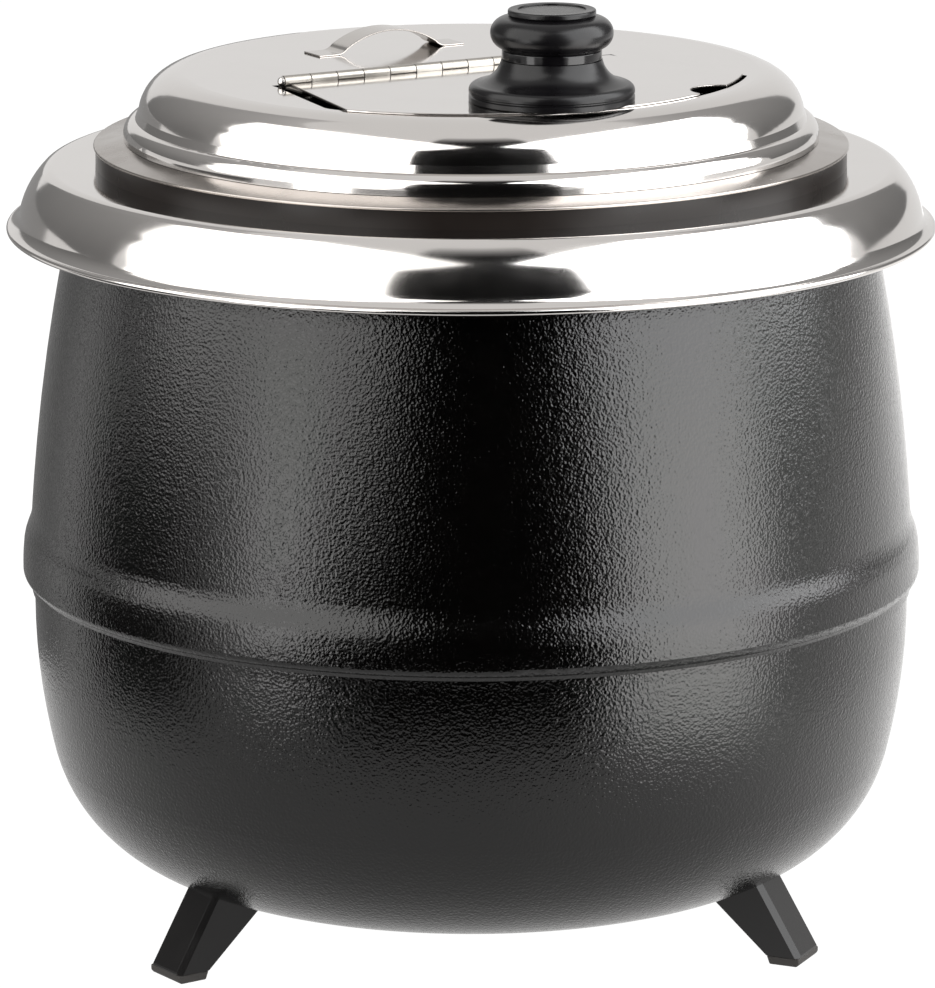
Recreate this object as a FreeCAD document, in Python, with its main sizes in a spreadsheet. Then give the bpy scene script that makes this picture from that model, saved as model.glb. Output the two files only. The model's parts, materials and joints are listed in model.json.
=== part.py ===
import FreeCAD, Part
import math
import os

import Sketcher
from FreeCAD import Placement, Rotation, Vector

# Counter-top soup kettle: a black two-piece jacket on three feet, a water pan heated from below,
# a polished rim ring, a lift-out soup pot and a hinged lid with a ladle notch.
# Millimetres, +Z up. The origin is on the kettle's axis in the plane that the feet stand on,
# and -Y is the front. The lid's own pieces are drawn with the hinge along X and the flap
# towards -Y, and are then turned about Z to where the lid sits on the pot.

SIZES = (
    # stock
    ("sheet_steel", 0.8, "thickness of the stainless pressings"),
    ("shell_steel", 1.0, "thickness of the painted jacket"),
    ("running_gap", 0.05, "radial clearance of a turning shaft or pin"),
    ("hole_gap", 0.3, "radial clearance of a screw or stud in its hole"),
    # jacket, lower bowl
    ("bowl_floor", 25.5, "height of the bowl's underside"),
    ("bowl_flat_radius", 98.0, "radius of the bowl's flat floor"),
    ("bowl_corner", 58.7, "radius of the bowl's lower corner"),
    ("bowl_corner_turn", 14.75, "angle below level where the lower corner ends, degrees"),
    ("bowl_side_radius", 160.0, "radius of the bowl halfway up its side"),
    ("bowl_side_level", 98.0, "height of that point"),
    ("rim_radius", 161.6, "radius of the bowl's upright rim"),
    ("rim_level", 127.0, "height where the rim turns upright"),
    ("rim_top", 149.0, "top of the bowl's rim, inside the upper shell"),
    # jacket, upper shell
    ("skirt_bottom", 130.5, "lower edge of the upper shell"),
    ("bead_radius", 165.8, "largest radius of the waist bead"),
    ("bead_bottom", 138.5, "height where the bead turns under"),
    ("bead_top", 159.4, "height where the bead meets the tapered wall"),
    ("belly_base_radius", 162.3, "radius of the tapered wall at its foot"),
    ("belly_mid_radius", 157.55, "radius of the tapered wall halfway up"),
    ("belly_mid_level", 207.0, "height of that point"),
    ("belly_top_radius", 148.4, "radius of the tapered wall at its top"),
    ("shell_top", 263.5, "top face of the upper shell's flange"),
    ("shell_mouth", 136.0, "inner radius of the upper shell's flange"),
    ("shell_edge", 2.5, "rounding of the upper shell's top edge"),
    # water pan
    ("pan_radius", 129.5, "inner radius of the water pan"),
    ("pan_floor", 71.0, "inner floor of the water pan"),
    ("pan_corner", 35.0, "inner corner radius of the water pan"),
    ("pan_flange_radius", 147.3, "outer radius of the pan's flange"),
    ("pan_edge", 3.5, "rounding from the flange into the pan"),
    # rim ring
    ("ring_radius", 170.0, "radius of the ring's rolled lip"),
    ("ring_top", 288.0, "height of the ring's flat top"),
    ("ring_bore", 134.0, "inner radius of the ring's skirt"),
    ("ring_flat_radius", 152.5, "radius where the flat top ends"),
    ("ring_shoulder", 6.0, "first, tight rounding of the ring"),
    ("ring_crown", 31.0, "second, wide rounding of the ring"),
    ("ring_flare", 6.0, "hollow rounding above the lip"),
    ("ring_lip", 1.1, "radius of the rolled lip"),
    ("ring_edge", 2.0, "rounding into the ring's skirt"),
    # seat collar
    ("collar_radius", 137.2, "outer radius of the collar's head"),
    ("collar_bore", 126.5, "inner radius of the collar"),
    ("collar_height", 6.3, "height of the collar's head"),
    ("collar_spigot", 15.0, "depth of the collar's spigot inside the ring"),
    # soup pot
    ("pot_radius", 121.7, "inner radius of the soup pot"),
    ("pot_floor", 84.0, "inner floor of the soup pot"),
    ("pot_corner", 30.0, "inner corner radius of the soup pot"),
    ("pot_flange_radius", 138.0, "outer radius of the pot's flange"),
    ("pot_crown_radius", 126.2, "radius of the flange's highest line"),
    ("pot_crown", 297.6, "height of the flange's highest line"),
    # lid
    ("lid_radius", 127.0, "outer radius of the lid's lower bead"),
    ("lid_top", 322.0, "height of the lid's flat top"),
    ("lid_flat_radius", 105.0, "radius of the lid's flat top"),
    ("lid_shoulder", 16.6, "radius of the lid's shoulder"),
    ("lid_bead", 5.5, "radius of the lid's lower bead"),
    ("lid_bead_level", 299.5, "height of the lower bead's centre"),
    ("hinge_turn", 24.7, "angle from X to the hinge line, degrees"),
    ("hole_radius", 101.2, "radius of the serving hole's round edge"),
    ("flap_radius", 101.6, "radius of the flap's round edge"),
    ("notch_radius", 11.0, "radius of the ladle notch"),
    ("notch_turn", 300.0, "direction of the ladle notch on the lid, degrees"),
    ("notch_offset", 103.0, "distance of the notch's centre from the axis"),
    # piano hinge
    ("hinge_level", 323.6, "height of the hinge pin"),
    ("barrel_radius", 2.1, "outer radius of the hinge barrel"),
    ("pin_radius", 1.2, "radius of the hinge pin"),
    ("pin_head_radius", 1.9, "radius of the hinge pin's heads"),
    ("hinge_start", -78.0, "where the barrel starts along the hinge line"),
    ("hinge_pitch", 10.8, "length of one knuckle and its gap"),
    ("knuckle_gap", 0.3, "gap between two knuckles"),
    ("leaf_width", 14.0, "reach of each hinge leaf from the hinge line"),
    ("leaf_start", 2.3, "where each leaf's flat strip starts"),
    ("slot_half_width", 2.4, "half the width of the slot for the barrel"),
    # strap handle
    ("strap_centre_x", -5.0, "middle of the strap along the hinge line"),
    ("strap_front_y", 50.0, "front edge of the strap, behind the hinge"),
    ("strap_width", 12.0, "width of the strap"),
    ("strap_half_length", 30.7, "half the strap's length"),
    ("strap_steel", 0.6, "thickness of the strap"),
    ("strap_rise", 8.1, "height of the strap's arch above the lid"),
    # knob
    ("knob_x", -12.5, "knob's place along the hinge line"),
    ("knob_y", -78.6, "knob's place across the hinge line"),
    ("knob_base_radius", 29.4, "radius of the knob's foot"),
    ("knob_neck_radius", 17.7, "radius of the glossy neck"),
    ("knob_bulb_radius", 21.8, "largest radius of the grip"),
    ("knob_cap_radius", 15.6, "radius of the cap"),
    ("knob_screw_radius", 2.5, "radius of the knob's screw"),
    ("knob_insert_radius", 4.0, "radius of the threaded insert in the grip"),
    # feet
    ("foot_circle", 130.0, "distance of each foot's sole from the axis"),
    ("foot_sole_half", 6.4, "half the sole's length, towards the axis"),
    ("foot_half_width", 9.7, "half a foot's width"),
    ("foot_height", 34.0, "height to which a foot is moulded before it is fitted to the bowl"),
    ("foot_chamfer", 1.9, "chamfer of a foot's outer edges"),
    ("pad_height", 3.2, "thickness of the rubber sole"),
    ("foot_screw_place", 107.0, "distance of each foot's screw from the axis"),
    ("foot_screw_radius", 2.5, "radius of a foot's screw"),
    # heater stack
    ("stud_radius", 3.0, "radius of the pan's centre stud"),
    ("stud_bottom", 19.0, "lower end of the stud"),
    ("heater_radius", 92.0, "radius of the heat-spreading plate"),
    ("heater_thickness", 4.0, "thickness of that plate"),
    ("element_circle", 72.0, "radius of the element's centre line"),
    ("element_radius", 4.2, "radius of the element's tube"),
    ("element_gap", 70.0, "angle left open between the element's ends, degrees"),
    ("clamp_radius", 84.0, "radius of the clamp plate"),
    ("clamp_thickness", 1.2, "thickness of the clamp plate"),
    ("nut_height", 5.0, "height of an M6 nut"),
    ("nut_width", 10.0, "width across the flats of an M6 nut"),
    ("shield_radius", 96.0, "radius of the heat shield"),
    ("cutout_place", 40.0, "distance of the thermal cut-out from the axis"),
    ("cutout_radius", 8.0, "radius of the thermal cut-out"),
    ("wrap_inner", 131.0, "inner radius of the insulation"),
    ("wrap_outer", 143.0, "outer radius of the insulation"),
    ("wrap_bottom", 112.0, "lower end of the insulation"),
    ("wrap_top", 256.0, "upper end of the insulation"),
    # thermostat and controls, in the rear wall of the bowl
    ("panel_face", 157.5, "distance of the control bezel's face from the axis"),
    ("panel_half_width", 56.0, "half the bezel's width"),
    ("panel_bottom", 44.0, "lower edge of the bezel"),
    ("panel_top", 81.0, "upper edge of the bezel"),
    ("panel_wall", 3.0, "thickness of the bezel's face"),
    ("panel_corner", 7.0, "corner radius of the bezel"),
    ("window_half_width", 46.0, "half the width of the window in the bowl"),
    ("window_bottom", 50.0, "lower edge of that window"),
    ("window_top", 76.0, "upper edge of that window"),
    ("control_level", 62.5, "height of the controls' axes"),
    ("dial_x", 28.0, "place of the dial across the bezel"),
    ("dial_radius", 14.5, "radius of the dial"),
    ("dial_end", 169.5, "outer end of the dial"),
    ("scale_radius", 17.8, "radius of the scale plate"),
    ("shaft_radius", 3.0, "radius of the thermostat's shaft"),
    ("bush_radius", 4.75, "radius of the thermostat's threaded bush"),
    ("bush_end", 160.9, "outer end of that bush"),
    ("thermostat_back", 117.0, "inner face of the thermostat's case"),
    ("thermostat_front", 134.0, "outer face of the thermostat's case"),
    ("thermostat_half_width", 16.0, "half the width of the thermostat's case"),
    ("thermostat_half_height", 13.5, "half the height of the thermostat's case"),
    ("lamp_x", -2.0, "place of the pilot lamp across the bezel"),
    ("lamp_radius", 5.0, "radius of the pilot lamp's body"),
    ("gland_x", -33.0, "place of the cable gland across the bezel"),
    ("gland_bore", 3.75, "radius of the cable entry"),
    ("gland_thread", 7.0, "radius of the gland's thread"),
    ("gland_inner_end", 146.0, "inner end of the gland"),
    ("gland_end", 168.5, "outer end of the gland"),
    ("bulb_radius", 3.0, "radius of the thermostat's sensor bulb"),
    ("bulb_level", 63.2, "height of the sensor bulb's axis"),
    ("bulb_y", 40.0, "place of the sensor bulb behind the axis"),
    ("capillary_radius", 0.9, "radius of the capillary tube"),
    ("capillary_bend", 6.0, "bend radius of the capillary tube"),
    ("capillary_x", 26.0, "place of the capillary's run to the thermostat"),
)

FULL_TURN = 360
QUARTER = 90
FEET = {"foot_front_left": 210, "foot_front_right": 330, "foot_rear": 90}
KNUCKLES = 12
AXIS_Z = Vector(0, 0, 1)
ALONG_X = Rotation(Vector(0, 1, 0), QUARTER)
ALONG_Y = Rotation(Vector(1, 0, 0), -QUARTER)
UPRIGHT = Rotation()

doc = FreeCAD.newDocument("SoupKettle")
sheet = doc.addObject("Spreadsheet::Sheet", "Sizes")
sub_parts = []


class Size:
    """A number from the sheet, or a formula of such numbers, together with its present value."""

    def __init__(self, value, formula):
        self.value = value
        self.formula = formula

    def __add__(self, other):
        other = as_size(other)
        return Size(self.value + other.value, f"({self.formula} + {other.formula})")

    def __sub__(self, other):
        other = as_size(other)
        return Size(self.value - other.value, f"({self.formula} - {other.formula})")

    def __mul__(self, other):
        other = as_size(other)
        return Size(self.value * other.value, f"({self.formula} * {other.formula})")

    def __truediv__(self, other):
        other = as_size(other)
        return Size(self.value / other.value, f"({self.formula} / {other.formula})")

    def __radd__(self, other):
        return as_size(other) + self

    def __rsub__(self, other):
        return as_size(other) - self

    def __rmul__(self, other):
        return as_size(other) * self

    def __neg__(self):
        return as_size(0) - self


def as_size(number):
    if isinstance(number, Size):
        return number
    return Size(float(number), f"({float(number):.9f})")


def square_root(size):
    return Size(math.sqrt(size.value), f"sqrt({size.formula})")


def cosine(angle):
    angle = as_size(angle)
    return Size(math.cos(math.radians(angle.value)), f"cos({angle.formula} * 1 deg)")


def sine(angle):
    angle = as_size(angle)
    return Size(math.sin(math.radians(angle.value)), f"sin({angle.formula} * 1 deg)")


class SizeTable:
    """The sheet's numbers by name."""


def fill_sheet():
    table = SizeTable()
    for row, (name, value, meaning) in enumerate(SIZES, start=1):
        sheet.set(f"A{row}", name)
        sheet.set(f"B{row}", str(value))
        sheet.set(f"C{row}", meaning)
        sheet.setAlias(f"B{row}", name)
        setattr(table, name, Size(value, f"Sizes.{name}"))
    doc.recompute()
    return table


S = fill_sheet()


class Outline:
    """A closed outline of straight and round edges, whose corners are formulas of the sheet."""

    def __init__(self, x, y):
        self.here = (as_size(x), as_size(y))
        self.first = self.here
        self.edges = []

    def line(self, x, y):
        end = (as_size(x), as_size(y))
        self.edges.append((self.here, None, end))
        self.here = end
        return self

    def curve(self, via_x, via_y, x, y):
        """A round edge through a middle point."""
        end = (as_size(x), as_size(y))
        self.edges.append((self.here, (as_size(via_x), as_size(via_y)), end))
        self.here = end
        return self

    def dome(self, rise):
        """A spherical cap from here to the axis, rising or, when negative, falling."""
        base, level = self.here
        rise = as_size(rise)
        self.curve(*cap_middle(base, level, rise), 0, level + rise)
        return self

    def dome_from_axis(self, base, level):
        """A spherical cap from here, on the axis, to its base."""
        base, level = as_size(base), as_size(level)
        rise = self.here[1] - level
        return self.curve(*cap_middle(base, level, rise), base, level)

    def arc(self, centre_x, centre_y, radius, start, end):
        """A round edge about a centre, from one angle to another, after a line to its start."""
        start, end = as_size(start), as_size(end)
        points = [
            (centre_x + radius * cosine(angle), centre_y + radius * sine(angle))
            for angle in (start, (start + end) / 2, end)
        ]
        if not same_point(self.here, points[0]):
            self.line(*points[0])
        return self.curve(*points[1], *points[2])

    def close(self):
        if not same_point(self.here, self.first):
            self.line(*self.first)
        return self.edges


def cap_middle(base, level, rise):
    """A point halfway out on a spherical cap with this base radius and rise."""
    radius = (base * base + rise * rise) / (2 * rise)
    drop = square_root(radius * radius - base * base / 4)
    side = 1 if rise.value > 0 else -1
    return base / 2, level + rise - radius + side * drop


class Circle:
    """A whole circle, as an outline of its own."""

    def __init__(self, x, y, radius):
        self.x = as_size(x)
        self.y = as_size(y)
        self.radius = as_size(radius)


def same_point(a, b):
    return abs(a[0].value - b[0].value) < 1e-6 and abs(a[1].value - b[1].value) < 1e-6


def at(point):
    return Vector(point[0].value, point[1].value, 0)


def arc_through(start, middle, end):
    """A counter-clockwise arc over the three points, and whether it had to be reversed."""
    circle = Part.Arc(start, middle, end).toShape().Curve
    turn = (middle - start).cross(end - middle).z
    if turn < 0:
        start, end = end, start
    centre = circle.Center
    angles = [math.atan2(p.y - centre.y, p.x - centre.x) for p in (start, end)]
    if angles[1] < angles[0]:
        angles[1] += 2 * math.pi
    flat_circle = Part.Circle(centre, AXIS_Z, circle.Radius)
    return Part.ArcOfCircle(flat_circle, angles[0], angles[1]), turn < 0


def bind(sketch, constraints):
    """Adds the constraints, each with its formula or None, and binds those that have one."""
    first = sketch.ConstraintCount
    sketch.addConstraint([constraint for constraint, formula in constraints])
    for index, (constraint, formula) in enumerate(constraints, start=first):
        if formula is not None:
            sketch.setExpression(f"Constraints[{index}]", formula)


def pin_point(geometry, position, point):
    """Ties a point of the sketch to its two formulas, measured from the origin."""
    return [
        (Sketcher.Constraint("DistanceX", -1, 1, geometry, position, point[0].value), point[0].formula),
        (Sketcher.Constraint("DistanceY", -1, 1, geometry, position, point[1].value), point[1].formula),
    ]


def draw_circle(sketch, circle):
    centre = (circle.x, circle.y)
    index = sketch.addGeometry(Part.Circle(at(centre), AXIS_Z, circle.radius.value), False)
    radius = (Sketcher.Constraint("Radius", index, circle.radius.value), circle.radius.formula)
    bind(sketch, pin_point(index, 3, centre) + [radius])


def draw_outline(sketch, outline):
    first = sketch.GeometryCount
    geometry = []
    ends = []
    for start, middle, end in outline.close():
        if middle is None:
            geometry.append(Part.LineSegment(at(start), at(end)))
            ends.append((1, 2))
        else:
            arc, is_reversed = arc_through(at(start), at(middle), at(end))
            geometry.append(arc)
            ends.append((2, 1) if is_reversed else (1, 2))
    sketch.addGeometry(geometry, False)
    constraints = []
    for number, (start, middle, end) in enumerate(outline.edges):
        following = (number + 1) % len(outline.edges)
        joint = Sketcher.Constraint(
            "Coincident", first + number, ends[number][1], first + following, ends[following][0]
        )
        constraints.append((joint, None))
        constraints += pin_point(first + number, ends[number][0], start)
        if middle is not None:
            marker = sketch.addGeometry(Part.Point(at(middle)), True)
            constraints += pin_point(marker, 1, middle)
            on_arc = Sketcher.Constraint("PointOnObject", marker, 1, first + number)
            constraints.append((on_arc, None))
    bind(sketch, constraints)


def new_body(label):
    body = doc.addObject("PartDesign::Body", label)
    body.Label = label
    return body


def keep(thing, label):
    """Marks an object of the document as a finished sub-part with this name."""
    thing.Label = label
    sub_parts.append(thing)
    return thing


def draw(body, plane, outlines, lift=0):
    """A sketch on one of the body's own origin planes, lifted along that plane's normal."""
    sketch = body.newObject("Sketcher::SketchObject", body.Name + "_sketch")
    support = next(item for item in body.Origin.OriginFeatures if item.Role == plane)
    sketch.AttachmentSupport = [(support, "")]
    sketch.MapMode = "FlatFace"
    lift = as_size(lift)
    sketch.AttachmentOffset = Placement(Vector(0, 0, lift.value), UPRIGHT)
    sketch.setExpression("AttachmentOffset.Base.z", lift.formula)
    for outline in outlines:
        if isinstance(outline, Circle):
            draw_circle(sketch, outline)
        else:
            draw_outline(sketch, outline)
    return sketch


def revolve(body, *outlines, angle=FULL_TURN):
    """Turns outlines of radius and height about the body's Z axis."""
    sketch = draw(body, "XZ_Plane", outlines)
    feature = body.newObject("PartDesign::Revolution", body.Name + "_revolution")
    feature.Profile = sketch
    feature.ReferenceAxis = (sketch, ["V_Axis"])
    feature.setExpression("Angle", as_size(angle).formula)
    sketch.Visibility = False
    return body


def pad(body, plane, outlines, length, lift=0, both_ways=False, backwards=False):
    sketch = draw(body, plane, outlines, lift)
    feature = body.newObject("PartDesign::Pad", body.Name + "_pad")
    feature.Profile = sketch
    feature.setExpression("Length", as_size(length).formula)
    feature.SideType = "Symmetric" if both_ways else "One side"
    feature.Reversed = backwards
    return body


def checked_cut(body, feature):
    """Makes sure that a cutting feature takes some of the material away, and not all of it."""
    before = feature.BaseFeature.Shape.Volume
    doc.recompute()
    after = feature.Shape.Volume
    if not 0 < after < before - 1e-3:
        raise RuntimeError(f"{feature.Name} leaves {after:.1f} of {before:.1f}")
    return body


def pocket(body, plane, outlines, length=None, lift=0, both_ways=False, backwards=False):
    """Cuts outlines through everything, or to a length, along the plane's normal."""
    doc.recompute()
    sketch = draw(body, plane, outlines, lift)
    feature = body.newObject("PartDesign::Pocket", body.Name + "_pocket")
    feature.Profile = sketch
    feature.SideType = "Symmetric" if both_ways else "One side"
    feature.Reversed = backwards
    if length is None:
        feature.Type = "ThroughAll"
    else:
        feature.setExpression("Length", as_size(length).formula)
    return checked_cut(body, feature)


def groove(body, *outlines):
    """Turns outlines about the body's Z axis and cuts them away."""
    doc.recompute()
    sketch = draw(body, "XZ_Plane", outlines)
    feature = body.newObject("PartDesign::Groove", body.Name + "_groove")
    feature.Profile = sketch
    feature.ReferenceAxis = (sketch, ["V_Axis"])
    feature.Angle = FULL_TURN
    return checked_cut(body, feature)


def place(thing, x=0, y=0, z=0, rotation=UPRIGHT):
    """Puts an object at formulas of the sheet, turned by a fixed rotation."""
    x, y, z = as_size(x), as_size(y), as_size(z)
    thing.Placement = Placement(Vector(x.value, y.value, z.value), rotation)
    for axis, size in (("x", x), ("y", y), ("z", z)):
        thing.setExpression(f"Placement.Base.{axis}", size.formula)
    return thing


def lid_spot(x, y):
    """Where a point of the lid's own drawing lies after the lid is turned."""
    across, along = cosine(S.hinge_turn), sine(S.hinge_turn)
    return x * across - y * along, x * along + y * across


def place_on_lid(thing, x=0, y=0, z=0, rotation=UPRIGHT):
    """Puts an object at a place in the lid's own drawing and turns it with the lid."""
    spot_x, spot_y = lid_spot(as_size(x), as_size(y))
    turn = Rotation(AXIS_Z, S.hinge_turn.value)
    return place(thing, spot_x, spot_y, z, turn.multiply(rotation))


def cylinder(name, radius, height, x=0, y=0, z=0, rotation=UPRIGHT):
    thing = doc.addObject("Part::Cylinder", name)
    thing.setExpression("Radius", as_size(radius).formula)
    thing.setExpression("Height", as_size(height).formula)
    return place(thing, x, y, z, rotation)


def block(name, low, high):
    """A box between two corners, each a triple of sizes."""
    thing = doc.addObject("Part::Box", name)
    for side, start, end in zip(("Length", "Width", "Height"), low, high):
        thing.setExpression(side, (as_size(end) - start).formula)
    return place(thing, *low)


def fused(name, things):
    thing = doc.addObject("Part::MultiFuse", name)
    thing.Shapes = things
    thing.Refine = True
    return thing


def cut_from(name, base, tool):
    thing = doc.addObject("Part::Cut", name)
    thing.Base = base
    thing.Tool = tool
    thing.Refine = True
    return thing


def group(label, things):
    """Separate equal solids kept together under one name."""
    thing = doc.addObject("Part::Compound", label)
    thing.Links = things
    return keep(thing, label)


def disc(inner, outer, bottom, top):
    """The section of a flat ring."""
    return Outline(inner, bottom).line(outer, bottom).line(outer, top).line(inner, top)


def hexagon(width, x=0, y=0):
    """A hexagon with its flats this far apart."""
    corner = as_size(width) / math.sqrt(3)
    points = [(x + corner * cosine(60 * n), y + corner * sine(60 * n)) for n in range(6)]
    outline = Outline(*points[0])
    for point in points[1:]:
        outline.line(*point)
    return outline


def rounded_rectangle(left, bottom, right, top, corner):
    outline = Outline(left + corner, bottom)
    outline.arc(right - corner, bottom + corner, corner, -90, 0)
    outline.arc(right - corner, top - corner, corner, 0, 90)
    outline.arc(left + corner, top - corner, corner, 90, 180)
    outline.arc(left + corner, bottom + corner, corner, 180, 270)
    return outline


# ---- jacket ----------------------------------------------------------------------------------

def bowl_section_outside(outline, outset=0):
    """Follows the outside of the bowl from its floor to its rim, this far outside it."""
    centre_level = S.bowl_floor + S.bowl_corner
    outline.arc(S.bowl_flat_radius, centre_level, S.bowl_corner + outset, -90, -S.bowl_corner_turn)
    outline.curve(S.bowl_side_radius + outset, S.bowl_side_level, S.rim_radius + outset, S.rim_level)
    return outline


def foot_screw_holes():
    gap = S.foot_screw_radius + S.hole_gap
    return [
        Circle(S.foot_screw_place * cosine(turn), S.foot_screw_place * sine(turn), gap)
        for turn in FEET.values()
    ]


def panel_screw_places():
    """The four corners of the control bezel, as places across and up."""
    inset = 6.0
    rise = 4.2
    return [
        (side * (S.panel_half_width - inset), level)
        for side in (-1, 1)
        for level in (S.panel_bottom + rise, S.panel_top - rise)
    ]


def build_lower_bowl():
    body = new_body("lower_bowl")
    wall = S.shell_steel
    hole = S.stud_radius + S.hole_gap
    inner_side = S.rim_radius - wall
    centre_level = S.bowl_floor + S.bowl_corner
    outline = Outline(hole, S.bowl_floor)
    bowl_section_outside(outline)
    outline.line(S.rim_radius, S.rim_top).line(inner_side, S.rim_top).line(inner_side, S.rim_level)
    inside = S.bowl_corner - wall
    corner_end_x = S.bowl_flat_radius + inside * cosine(S.bowl_corner_turn)
    corner_end_y = centre_level - inside * sine(S.bowl_corner_turn)
    outline.curve(S.bowl_side_radius - wall, S.bowl_side_level, corner_end_x, corner_end_y)
    outline.arc(S.bowl_flat_radius, centre_level, inside, -S.bowl_corner_turn, -90)
    outline.line(hole, S.bowl_floor + wall)
    revolve(body, outline)
    pocket(body, "XY_Plane", foot_screw_holes(), backwards=True)
    window = rounded_rectangle(
        -S.window_half_width, S.window_bottom, S.window_half_width, S.window_top, as_size(4)
    )
    screw_holes = [Circle(x, z, 1.6) for x, z in panel_screw_places()]
    pocket(body, "XZ_Plane", [window] + screw_holes)
    keep(body, "lower_bowl")


def build_upper_shell():
    body = new_body("upper_shell")
    wall = S.shell_steel
    top, edge = S.shell_top, S.shell_edge
    corner = S.belly_top_radius - edge
    bead = S.bead_radius
    outline = Outline(S.shell_mouth, top - wall).line(S.shell_mouth, top)
    outline.arc(corner, top - edge, edge, 90, 0)
    outline.curve(S.belly_mid_radius, S.belly_mid_level, S.belly_base_radius, S.bead_top)
    outline.curve(bead - 2.9, S.bead_top - 3.2, bead - 1.7, S.bead_top - 6.4)
    outline.curve(bead - 0.75, S.bead_top - 9.6, bead - 0.35, S.bead_top - 13.0)
    outline.curve(bead - 0.05, S.bead_bottom + 4.0, bead, S.bead_bottom)
    outline.curve(bead - 0.6, S.bead_bottom - 2.0, bead - 2.2, S.bead_bottom - 3.2)
    outline.line(bead - 3.1, S.bead_bottom - 4.6)
    outline.line(bead - 3.2, S.skirt_bottom).line(bead - 4.1, S.skirt_bottom)
    outline.line(bead - 4.1, S.bead_bottom - 4.0).line(bead - 3.1, S.bead_bottom - 2.3)
    outline.curve(bead - 1.5, S.bead_bottom - 1.2, bead - 1.0, S.bead_bottom + 0.6)
    outline.curve(bead - 1.05, S.bead_bottom + 4.0, bead - 1.35, S.bead_top - 13.0)
    outline.curve(bead - 1.75, S.bead_top - 9.9, bead - 2.7, S.bead_top - 6.8)
    outline.curve(bead - 3.9, S.bead_top - 3.4, S.belly_base_radius - wall, S.bead_top)
    outline.curve(
        S.belly_mid_radius - wall, S.belly_mid_level, S.belly_top_radius - wall, top - edge
    )
    outline.arc(corner, top - edge, edge - wall, 0, 90)
    revolve(body, outline)
    keep(body, "upper_shell")


def build_water_pan():
    """A deep-drawn pan that hangs by its flange on the upper shell and holds the hot water."""
    body = new_body("water_pan")
    wall = S.sheet_steel
    inner, outer = S.pan_radius, S.pan_radius + wall
    corner_x = inner - S.pan_corner
    corner_y = S.pan_floor + S.pan_corner
    edge_x = inner + S.pan_edge
    edge_y = S.shell_top + wall - S.pan_edge
    outline = Outline(0, S.pan_floor - wall)
    outline.arc(corner_x, corner_y, S.pan_corner + wall, -90, 0)
    outline.arc(edge_x, edge_y, S.pan_edge - wall, 180, 90)
    outline.line(S.pan_flange_radius, S.shell_top)
    outline.line(S.pan_flange_radius, S.shell_top + wall)
    outline.arc(edge_x, edge_y, S.pan_edge, 90, 180)
    outline.arc(corner_x, corner_y, S.pan_corner, 0, -90)
    outline.line(0, S.pan_floor)
    revolve(body, outline)
    keep(body, "water_pan")


def build_insulation():
    body = new_body("insulation_wrap")
    revolve(body, disc(S.wrap_inner, S.wrap_outer, S.wrap_bottom, S.wrap_top))
    keep(body, "insulation_wrap")


# ---- feet ------------------------------------------------------------------------------------

def foot_outline():
    """A foot seen from the side, X pointing away from the kettle's axis."""
    outside = S.foot_circle + S.foot_sole_half
    inside = S.foot_circle - S.foot_sole_half
    lean = 0.581
    heel = inside - 22.4
    rise = S.foot_height - S.pad_height
    outline = Outline(inside, S.pad_height).line(outside, S.pad_height)
    outline.line(outside, S.pad_height + 1.0).line(outside - rise * lean, S.foot_height)
    return outline.line(heel, S.foot_height).line(heel, S.pad_height + 19.8)


def sloping_outer_edges(shape, half_width):
    """Names of the two long outer edges of a foot, which are chamfered."""
    names = []
    for number, edge in enumerate(shape.Edges, start=1):
        ends = [vertex.Point for vertex in edge.Vertexes]
        on_side = all(abs(abs(point.y) - half_width) < 1e-3 for point in ends)
        runs_down = abs(ends[0].z - ends[-1].z) > 15
        outermost = max(point.x for point in ends) > 120
        leans_out = (ends[0].z - ends[-1].z) * (ends[0].x - ends[-1].x) < 0
        if on_side and runs_down and outermost and leans_out:
            names.append((number, max(point.x for point in ends)))
    furthest = max(reach for number, reach in names)
    return [f"Edge{number}" for number, reach in names if reach > furthest - 1]


def build_foot(label, turn):
    body = new_body(label)
    pad(body, "XZ_Plane", [foot_outline()], 2 * S.foot_half_width, both_ways=True)
    doc.recompute()
    chamfer = body.newObject("PartDesign::Chamfer", label + "_chamfer")
    edges = sloping_outer_edges(body.Shape, S.foot_half_width.value)
    chamfer.Base = (body.Tip if body.Tip != chamfer else chamfer.BaseFeature, edges)
    chamfer.setExpression("Size", S.foot_chamfer.formula)
    above_floor = Outline(0, S.bowl_floor)
    bowl_section_outside(above_floor)
    above_floor.line(0, S.rim_level)
    groove(body, above_floor)
    screw_hole = Circle(S.foot_screw_place, 0, S.foot_screw_radius)
    pocket(body, "XY_Plane", [screw_hole], length=30, lift=S.pad_height + 13.8, backwards=True)
    place(body, rotation=Rotation(AXIS_Z, turn))
    keep(body, label)


def build_foot_pads():
    pads = []
    inside = S.foot_circle - S.foot_sole_half
    outside = S.foot_circle + S.foot_sole_half
    for label, turn in FEET.items():
        body = new_body(label + "_sole")
        side = Outline(inside + 1.2, 0).line(outside - 1.0, 0).line(outside, 1.2)
        side.line(outside, S.pad_height).line(inside, S.pad_height)
        pad(body, "XZ_Plane", [side], 2 * S.foot_half_width, both_ways=True)
        pads.append(place(body, rotation=Rotation(AXIS_Z, turn)))
    group("foot_pads", pads)


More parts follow.
